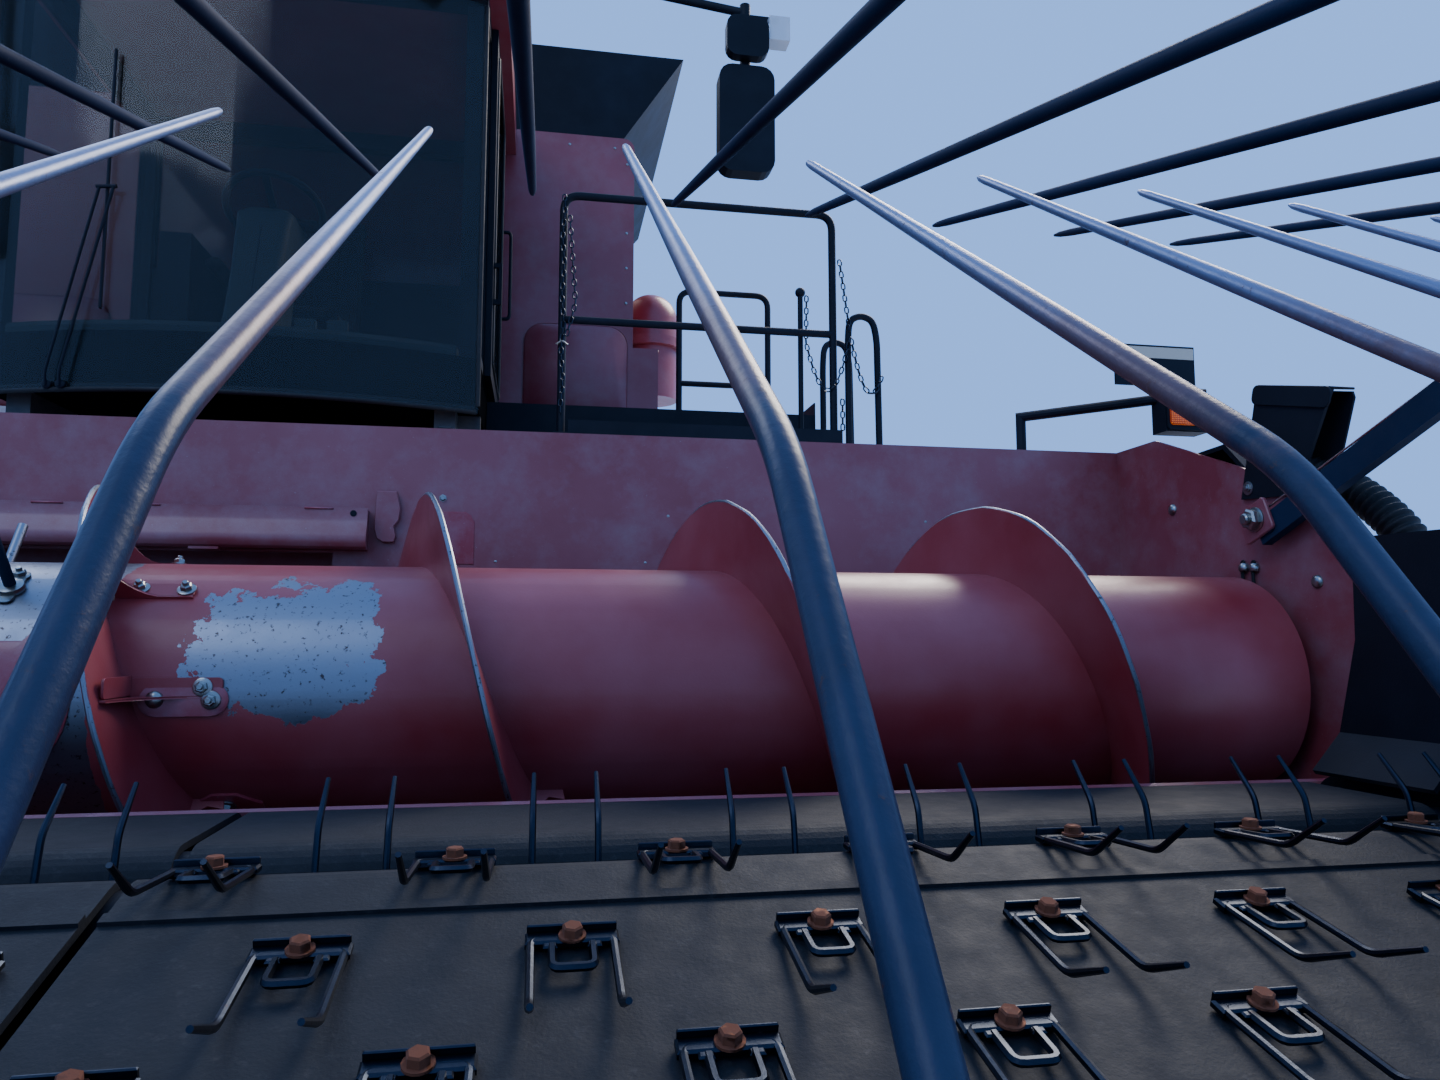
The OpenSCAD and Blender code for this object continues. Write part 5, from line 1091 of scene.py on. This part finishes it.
rails = [bent(hoop(1.2, 2.37, RAIL_Y, LANDING_Z, 2.57), 0.017),
         bent([[1.2, RAIL_Y, 2.03], [2.37, RAIL_Y, 2.03]], 0.0165),
         bent(hoop(1.86, 2.36, BACK_Y, DECK_Z, 2.62), 0.017),
         bent([[1.86, BACK_Y, 2.10], [2.36, BACK_Y, 2.10]], 0.0165),
         bent([[2.24, RAIL_Y + 0.06, LANDING_Z], [2.24, RAIL_Y + 0.06, 2.23]], 0.012)]
ball = arc(0, 0, 0.0225, math.degrees(-1.45), math.degrees(1.45), 13)
rails.append(turned(ball, 20, (0, 0, 1), (2.24, RAIL_Y + 0.06, 2.232)))
feet_at = ((1.2, RAIL_Y, LANDING_Z), (2.365, RAIL_Y, LANDING_Z), (2.24, RAIL_Y + 0.06, LANDING_Z),
           (1.86, BACK_Y, DECK_Z))
feet = [slab([x - 0.032, y - 0.032, z], [x + 0.032, y + 0.032, z + 0.008], 0.001) for x, y, z in feet_at]
piece("platform_rails", joined([*rails, *feet]), BLACK, "chassis", stands_for=["handrails"])
LADDER_Y0, LADDER_Y1 = -0.84, -0.44
cheek = [[2.4003, 1.43], [2.50, 0.45], [2.59, 0.45], [2.59, 0.52], [2.46, 1.54], [2.4003, 1.54]]
ladder = [plate(cheek, 0.010, facing_ahead([0, y, 0]), 0.002) for y in (LADDER_Y0 + 0.010, LADDER_Y1)]
tooth = turned([(0.0065, 0), (0.0060, 0.003), (0.0042, 0.0042)], 8)
for k in range(4):
    z = 0.48 + 0.265 * k
    x = 2.588 - (z - 0.45) * 0.12
    ladder.append(slab([x - 0.13, LADDER_Y0 + 0.009, z + 0.002], [x, LADDER_Y1 - 0.009, z + 0.030], 0.003))
    # Rows of raised teeth hold a muddy sole
    teeth = [[x - 0.115 + 0.023 * i, LADDER_Y0 + 0.03 + 0.024 * j, z + 0.0295]
             for i in range(5) for j in range(15)]
    ladder.append(placed(tooth, [upright(t) for t in teeth]))
loop = [[2.43, 0, 1.48], [2.43, 0, 1.99], [2.437, 0, 2.09], [2.49, 0, 2.115], [2.545, 0, 2.095],
        [2.562, 0, 2.01], [2.575, 0, 0.70]]
for y in (LADDER_Y0 + 0.005, LADDER_Y1 - 0.005):
    ladder.append(tube(rounded(np.array(loop) + [0, y, 0], 0.045, 6), 0.0148, 12))
piece("ladder_steps", joined(ladder), BLACK, "chassis", smooth=35, stands_for=["ladder"])

# %% [markdown]
# Chains close the gaps in the rails. Each link is a welded ring of dark wire, set a quarter turn
# from its neighbours, and each length hangs in the curve that its own weight gives it.

# %% Chains
def link(length=0.035, width=0.022, wire=0.0030):
    """A round wire along a circle whose halves are drawn apart: z = r sin u + sign(sin u) stretch."""
    u = np.linspace(0, 2 * np.pi, 14, endpoint=False)
    stretch, r = (length - width) / 2, width / 2 - wire
    half = np.sign(np.round(np.sin(u), 6))
    centre = np.column_stack([r * np.cos(u), np.zeros(14), r * np.sin(u) + half * stretch])
    ring_t = unit(np.roll(centre, -1, 0) - np.roll(centre, 1, 0))
    side = np.cross(ring_t, [0, 1.0, 0])
    v = np.linspace(0, 2 * np.pi, 6, endpoint=False)[None, :, None]
    rings = centre[:, None] + wire * (np.cos(v) * side[:, None] + np.sin(v) * np.array([0, 1.0, 0]))
    return rings.reshape(-1, 3), [skin(14, 6, wrap=True)]


def hang(a, b, sag):
    """A slack chain from a to b: a + w (b - a), less 4 sag w (1 - w) in height."""
    a, b, w = np.asarray(a), np.asarray(b), np.linspace(0, 1, 60)[:, None]
    return a + w * (b - a) - 4 * sag * w * (1 - w) * [0, 0, 1.0]


def chain(path, pitch=0.0275):
    """Links at equal steps along the path, turned by turns."""
    path = np.asarray(path, float)
    run = np.r_[0, np.cumsum(np.linalg.norm(np.diff(path, axis=0), axis=1))]
    n = int(run[-1] // pitch)
    at = np.column_stack([np.interp((np.arange(n) + 0.5) * pitch, run, path[:, i]) for i in range(3)])
    t = unit(np.gradient(at, axis=0))
    out = []
    for k in range(n):
        x = unit(np.cross([0.13, 1.0, 0.07], t[k]))
        y = np.cross(t[k], x)
        if k % 2:
            x, y = y, -x
        out.append(frame_matrix(x, y, t[k], at[k]))
    return placed(link(), out)


CHAIN_Y = RAIL_Y - 0.026
post = [[1.2 + 0.004 * math.sin(k * 0.9), CHAIN_Y, 2.56 - 0.035 * k] for k in range(28)]
post_loop = np.vstack([hang([1.224, CHAIN_Y, 2.47], [1.252, CHAIN_Y, 2.10], 0.0),
                       hang([1.252, CHAIN_Y, 2.10], [1.215, CHAIN_Y, 1.95], 0.01)])
ring_y, low = RAIL_Y - 0.052, [2.258, RAIL_Y + 0.035, 2.00]
swag = np.vstack([hang([2.262, RAIL_Y + 0.035, 2.21], low, 0.0), hang(low, [2.432, ring_y, 2.01], 0.225)])
tail = [[2.402, CHAIN_Y, 1.60 + 0.02 * k] for k in range(9)]
runs = [post, post_loop, hang([2.395, CHAIN_Y, 2.36], [2.432, ring_y, 2.02], 0.0), swag,
        hang([2.436, ring_y, 2.00], [2.580, LADDER_Y0 - 0.020, 1.86], 0.16), tail]
piece("platform_chains", joined([chain(run) for run in runs]), TINE_STEEL, "chassis")
u = np.linspace(0, 6.2, 20)
tie = np.column_stack([1.2 + 0.024 * np.cos(u), RAIL_Y + 0.030 * np.sin(u), 1.925 + 0.004 * np.sin(3 * u)])
piece("chain_tie", tube(tie, 0.0028, 6), PALE_BAND, "chassis")

# %% [markdown]
# The driver's seat is foam under woven cloth. Each pad starts as a plain block, is filled by a cloth
# simulation with a little pressure inside, and then has its channels pressed in, as a sewn seat's
# cover pulls the foam down along the stitching.

# %% Driver's seat
def filled(name, low, high, cap):
    """A block remeshed at 6 mm and swollen by cloth under pressure, no point moving over cap."""
    verts, groups = slab(low, high, 0.022)
    mesh = bpy.data.meshes.new(name + "_foam")
    mesh.from_pydata(verts.tolist(), [], [f.tolist() for g in groups for f in g])
    obj = bpy.data.objects.new(name + "_foam", mesh)
    bpy.context.scene.collection.objects.link(obj)
    grid = obj.modifiers.new("grid", "REMESH")
    grid.mode = "VOXEL"
    grid.voxel_size = 0.006
    mesh = bpy.data.meshes.new_from_object(obj.evaluated_get(bpy.context.evaluated_depsgraph_get()))
    obj.modifiers.clear()
    obj.data = mesh
    rest = np.empty(len(mesh.vertices) * 3)
    mesh.vertices.foreach_get("co", rest)
    rest = rest.reshape(-1, 3)
    cloth = obj.modifiers.new("cloth", "CLOTH").settings
    cloth.use_pressure = True
    cloth.uniform_pressure_force = 4.0
    cloth.effector_weights.gravity = 0.0
    for step in range(1, 21):
        bpy.context.scene.frame_set(step)
    swollen = np.empty_like(rest).ravel()
    obj.evaluated_get(bpy.context.evaluated_depsgraph_get()).data.vertices.foreach_get("co", swollen)
    move = swollen.reshape(-1, 3) - rest
    far = np.linalg.norm(move, axis=1, keepdims=True)
    rest = rest + move * np.minimum(1.0, cap / np.maximum(far, 1e-9))
    obj.modifiers.clear()
    bpy.context.scene.frame_set(1)
    corner = np.empty(len(mesh.loops), np.int32)
    mesh.loops.foreach_get("vertex_index", corner)
    bpy.data.objects.remove(obj)
    return rest, [corner.reshape(-1, 4)]


def pad(name, low, high, cap, face, lines, tilt=0.0, at=(0, 0, 0), stands_for=()):
    """A filled pad whose channels are 6.5 mm exp(-(distance / 7.5 mm)^2) deep in one face."""
    verts, groups = filled(name, low, high, cap)
    middle = (np.array(low) + np.array(high)) / 2
    up, way = face
    top = verts[:, up] * way > middle[up] * way
    for axis, place, reach in lines:
        other = 3 - axis - up
        inside = np.abs(verts[:, other] - middle[other]) < reach
        dent = 0.0065 * np.exp(-(((verts[:, axis] - place) / 0.0075) ** 2)) * top * inside
        verts[:, up] -= dent * way
    c, s = math.cos(tilt), math.sin(tilt)
    verts = verts @ np.array([[1, 0, 0], [0, c, s], [0, -s, c]]) + np.asarray(at, float)
    obj = piece(name, (verts, groups), SEAT_CLOTH, "chassis", smooth=0,
                stands_for=stands_for)
    obj.data.shade_smooth()
    finer = obj.modifiers.new("finer", "SUBSURF")
    finer.levels = finer.render_levels = 1
    return obj


pad("seat_cushion", [-0.236, -0.392, 2.064], [0.236, 0.085, 2.164], 0.012, (2, 1),
    [(0, -0.125, 0.20), (0, 0.125, 0.20), (1, -0.02, 0.12)], stands_for=["operator_seat"])
pad("seat_back", [-0.228, -0.040, 0.0], [0.228, 0.046, 0.660], 0.012, (1, -1),
    [(0, -0.125, 0.27), (0, 0.125, 0.27), (2, 0.30, 0.12)], tilt=math.radians(-9.5), at=(0, 0.142, 2.166))
pad("seat_armrest", [-0.325, -0.400, 2.296], [-0.257, 0.050, 2.362], 0.006, (2, 1), [])
bellows = []
for k in range(12):
    fold = round_outline(0.352 - 0.030 * (k % 2), 0.31 - 0.030 * (k % 2), 0.04) + [0, -0.15]
    bellows.append(np.column_stack([fold, np.full(20, 1.791 + 0.0225 * k)]))
seat_pan = plate(round_outline(0.46, 0.46, 0.05), 0.018, upright([0, -0.155, 2.042]), 0.004)
post_place = frame_matrix([0, 1, 0], [0, 0, 1], [1, 0, 0], [-0.298, 0.015, 2.195])
arm_post = plate(round_outline(0.09, 0.20, 0.02), 0.045, post_place, 0.004)
piece("seat_suspension", joined([loft(bellows), seat_pan, arm_post]), MOULDING, "chassis",
      smooth=35)

# %% [markdown]
# Low on the tank's front wall is a pressed cover with wide corners over the filling auger's foot. A
# shallow pressing with a generous radius is stiff, and grain doesn't lodge in it. Screws hold its rim.

# %% Tank front
TANK_Y0, BODY_END = 0.45, 4.75
cover_place = facing_ahead([1.300, TANK_Y0 + 0.001, 2.125])
cover_plate = plate(round_outline(0.560, 0.570, 0.11, 8), 0.020, cover_place, 0.012)
# The slot in each cover is not cut: a thin black plate on the face is painted shade for the slot's dark
# inside.
slot_place = facing_ahead([1.30, TANK_Y0 - 0.0185, 1.885])
slot_plate = plate(round_outline(0.17, 0.026, 0.012), 0.002, slot_place, 0.0004)
screw_at = [(-1.5 + 0.25 * k, 3.44) for k in range(13)]
screw_at += [(s * 1.57, 2.55 + 0.2 * k) for s in (-1, 1) for k in range(5)]
screw_profile = [(0.008, 0), (0.0075, 0.002), (0.0045, 0.004)]
rim_screws = [turned(screw_profile, 12, (0, -1, 0), (x, TANK_Y0 + 0.0005, z)) for x, z in screw_at]
piece("tank_front_covers", both_sides(cover_plate), RED_BODY, "chassis", smooth=60)
piece("tank_slots_painted_shade", both_sides(slot_plate), BLACK, "chassis")
piece("tank_screws", joined(rim_screws), ZINC, "chassis", smooth=30)

# %% [markdown]
# Each side panel is hung from its top edge. Rubber toggles hold its foot and let a hand open it
# without a tool, and a folded strip on top of the panel covers the hinge.

# %% Side panels
PANEL_X = 1.75


def on_panel(in0, y0, z0, out1, y1, z1, edge):
    """A slab on the left panel, from in0 to out1 beside its outer face."""
    return slab([PANEL_X + in0, y0, z0], [PANEL_X + out1, y1, z1], edge)


toggles, keepers = [], []
for back, z in ((1.25, 1.30), (1.95, 1.30), (2.55, 1.30), (3.70, 1.50)):
    y = TANK_Y0 + back
    toggles.append(on_panel(-0.001, y - 0.014, z - 0.045, 0.009, y + 0.014, z + 0.035, 0.003))
    pull = [[PANEL_X + 0.010, y + side * 0.032, z + 0.036] for side in (-1, 1)]
    toggles.append(tube(pull, 0.008, 10))
    keepers.append(on_panel(-0.001, y - 0.022, z - 0.062, 0.0045, y + 0.022, z - 0.040, 0.001))
hinge_strip = on_panel(-0.028, TANK_Y0 + 0.02, 2.268, 0.006, BODY_END - 0.02, 2.300, 0.004)
edges = on_panel(-0.030, TANK_Y0 + 1.06, 1.193, 0.003, TANK_Y0 + 2.68, 1.203, 0.002)
piece("panel_toggles", both_sides(joined(toggles)), HOSE_RUBBER, "chassis")
piece("panel_keepers", both_sides(joined(keepers)), ZINC, "chassis", smooth=0)
piece("hinge_strips", both_sides(hinge_strip), RED_BODY, "chassis", smooth=0)
piece("panel_edges", both_sides(edges), HOSE_RUBBER, "chassis", smooth=0)

# %% [markdown]
# Lamps and mirrors. A mirror is silvered glass in a soft black frame. The rear lamps have red
# acrylic lenses, and each working lamp in the roof is ringed by a bezel that its screws pull tight.

# %% Mirrors and lamps
MIRROR_X, MIRROR_Y = 1.855, -1.41
SILVER = paint_card("#C6CCD2")
MIRROR_GLASS, _, _ = start_material("silvered mirror glass", Base_Color=SILVER, Metallic=1.0,
                                    Roughness=0.04)
RED_LENS = glass("red acrylic lamp lens", "#7A0C10", 0.95, 0.15)
main_place = facing_rear([MIRROR_X, MIRROR_Y + 0.0225, 2.6325])
wide_place = facing_rear([MIRROR_X, MIRROR_Y - 0.0148, 2.945])
mirrors = [plate(round_outline(0.164, 0.369, 0.033, 6), 0.003, main_place, 0.001),
           plate(round_outline(0.135, 0.135, 0.032, 6), 0.003, wide_place, 0.001)]
piece("mirror_glasses", both_sides(joined(mirrors)), MIRROR_GLASS, "chassis", smooth=30)
rear_place = facing_rear([1.535, BODY_END + 0.0497, 2.105])
rear_lens = plate(round_outline(0.196, 0.080, 0.010, 3), 0.006, rear_place, 0.002)
piece("rear_lenses", both_sides(rear_lens), RED_LENS, "chassis", smooth=30)
bezels = []
for x, ahead in ((0.355, 0.245), (0.655, 0.185)):
    y, low, high = CAB_Y0 - ahead, 3.254, 3.324
    corners = [[x - 0.093, y, low], [x + 0.093, y, low], [x + 0.093, y, high], [x - 0.093, y, high],
               [x - 0.093, y, low], [x - 0.06, y, low]]
    bezels.append(tube(rounded(corners, 0.012, 3), 0.0055, 8))
piece("lamp_bezels", both_sides(joined(bezels)), BLACK, "chassis")

# %% [markdown]
# A rubber gasket runs round the door's glass and grips its edge, so no glue is needed. Outside is a
# bent grab handle, which the driver pulls from the ladder's top.

# %% Door
DOOR_X, DOOR_Y0, DOOR_Y1 = CAB_X + 0.030, -0.70, 0.10
fore, aft, low, high = DOOR_Y0 + 0.035, DOOR_Y1 - 0.065, 1.872, 3.248
around = [(fore, low), (aft, low), (aft, high), (fore, high), (fore, low), (DOOR_Y0 + 0.2, low)]
gasket = tube(rounded([[DOOR_X + 0.0015, y, z] for y, z in around], 0.05, 6), 0.0075, 8)
piece("door_gasket", gasket, HOSE_RUBBER, "cab_door")
grab = [[DOOR_X + out, DOOR_Y1 - 0.030, z]
        for out, z in ((-0.002, 2.30), (0.045, 2.30), (0.045, 2.75), (-0.002, 2.75))]
piece("door_grab", bent(grab, 0.009, 0.03, 10), BLACK, "cab_door")

# %% [markdown]
# The platform is steel sheet with raised teeth, pressed in rows, so that a wet boot doesn't slip.

# %% Platform grip
grip = [[x, y, 1.5400] for x in np.arange(1.26, 2.37, 0.048) for y in np.arange(-0.815, -0.43, 0.048)]
grip += [[x, y, 1.7600] for x in np.arange(0.93, 2.37, 0.048) for y in np.arange(-0.385, 0.43, 0.048)]
knob = turned([(0.0095, -0.0005), (0.0085, 0.0018), (0.0055, 0.0032)], 6)
piece("platform_grip", placed(knob, [upright(g) for g in grip]), BLACK, "chassis", smooth=30)

# %% [markdown]
# A convoluted rubber sleeve guards the drive shaft where it leaves the left end sheet. Its rings let
# it shorten and bend as the pickup floats. Round-headed bolts hold the shields beside it.

# %% Drive sleeve and shield bolts
line = [[2.520, AUGER_Y - 0.135, 1.020], [2.545, AUGER_Y - 0.240, 0.965], [2.552, AUGER_Y - 0.330, 0.880],
        [2.552, AUGER_Y - 0.360, 0.800]]
line = rounded(line, 0.08, 30)
run = np.r_[0, np.cumsum(np.linalg.norm(np.diff(line, axis=0), axis=1))]
even = np.linspace(0, run[-1], 150)
sleeve_path = np.column_stack([np.interp(even, run, line[:, i]) for i in range(3)])
sleeve = tube(sleeve_path, 0.0290 + 0.0035 * np.cos(2 * np.pi * even / 0.0155), 24)
piece("drive_sleeve", sleeve, HOSE_RUBBER, "feeder", smooth=70)
bolts_at = ((-0.22, 0.68), (-0.22, 0.36), (0.45, 1.02), (0.45, 0.32), (0.10, 1.02))
shield_bolts = [one(DOME_HEAD, axes([0, 1, 0], [1, 0, 0], [2.5895, AUGER_Y + y, z])) for y, z in bolts_at]
piece("shield_bolts", both_sides(joined(shield_bolts)), ZINC, "feeder", smooth=30)

# %% [markdown]
# A pale floor, a soft sky and three large panels stand in for a studio. The camera stands where the
# photograph was taken, close in front of the header and a little above the auger's axis.

# %% Floor, light and camera
floor_mesh = bpy.data.meshes.new("studio_floor")
floor_mesh.from_pydata([(-60, -60, 0), (60, -60, 0), (60, 60, 0), (-60, 60, 0)], [], [(0, 1, 2, 3)])
floor = bpy.data.objects.new("studio_floor", floor_mesh)
bpy.context.scene.collection.objects.link(floor)
FLOOR, _, _ = start_material("pale matt floor", Base_Color=paint_card("#CDD0D4"), Roughness=0.9)
floor_mesh.materials.append(FLOOR)

world = bpy.data.worlds.new("soft sky")
bpy.context.scene.world = world
world.use_nodes = True
background = world.node_tree.nodes["Background"]
background.inputs["Color"].default_value = paint_card("#76A4EE")
background.inputs["Strength"].default_value = 1.7


def light_panel(name, at, toward, size, power, colour):
    """An area light at a place, its back axis the unit vector from the target to the light."""
    lamp = bpy.data.lights.new(name, "AREA")
    lamp.shape = "RECTANGLE"
    lamp.size, lamp.size_y = size
    lamp.energy = power
    lamp.color = paint_card(colour)[:3]
    holder = bpy.data.objects.new(name, lamp)
    bpy.context.scene.collection.objects.link(holder)
    z = unit(np.array(at, float) - np.array(toward, float))
    x = unit(np.cross([0, 0, 1.0], z))
    holder.matrix_world = Matrix(frame_matrix(x, np.cross(z, x), z, at).tolist())


light_panel("sky_panel", (-5, -9, 9), (0, -2, 1), (7, 5), 350, "#DCE8FF")
light_panel("back_panel", (7, 4, 9), (0, -2, 1), (6, 5), 1500, "#FFF4E6")
light_panel("rear_panel", (-5, 9, 13), (0, 2, 1.5), (9, 7), 900, "#E4ECFF")

lens = bpy.data.cameras.new("photo_camera")
lens.lens = 24.95
lens.sensor_width = 36.0
lens.clip_start = 0.02
lens.clip_end = 200.0
camera = bpy.data.objects.new("photo_camera", lens)
bpy.context.scene.collection.objects.link(camera)
camera.location = (1.12, CAM_Y, 0.70)
camera.rotation_euler = (math.radians(90 + 5.72), 0.0, math.radians(-10.34))
bpy.context.scene.camera = camera

# %% View transform
view = bpy.context.scene.view_settings
print("view transform", view.view_transform)
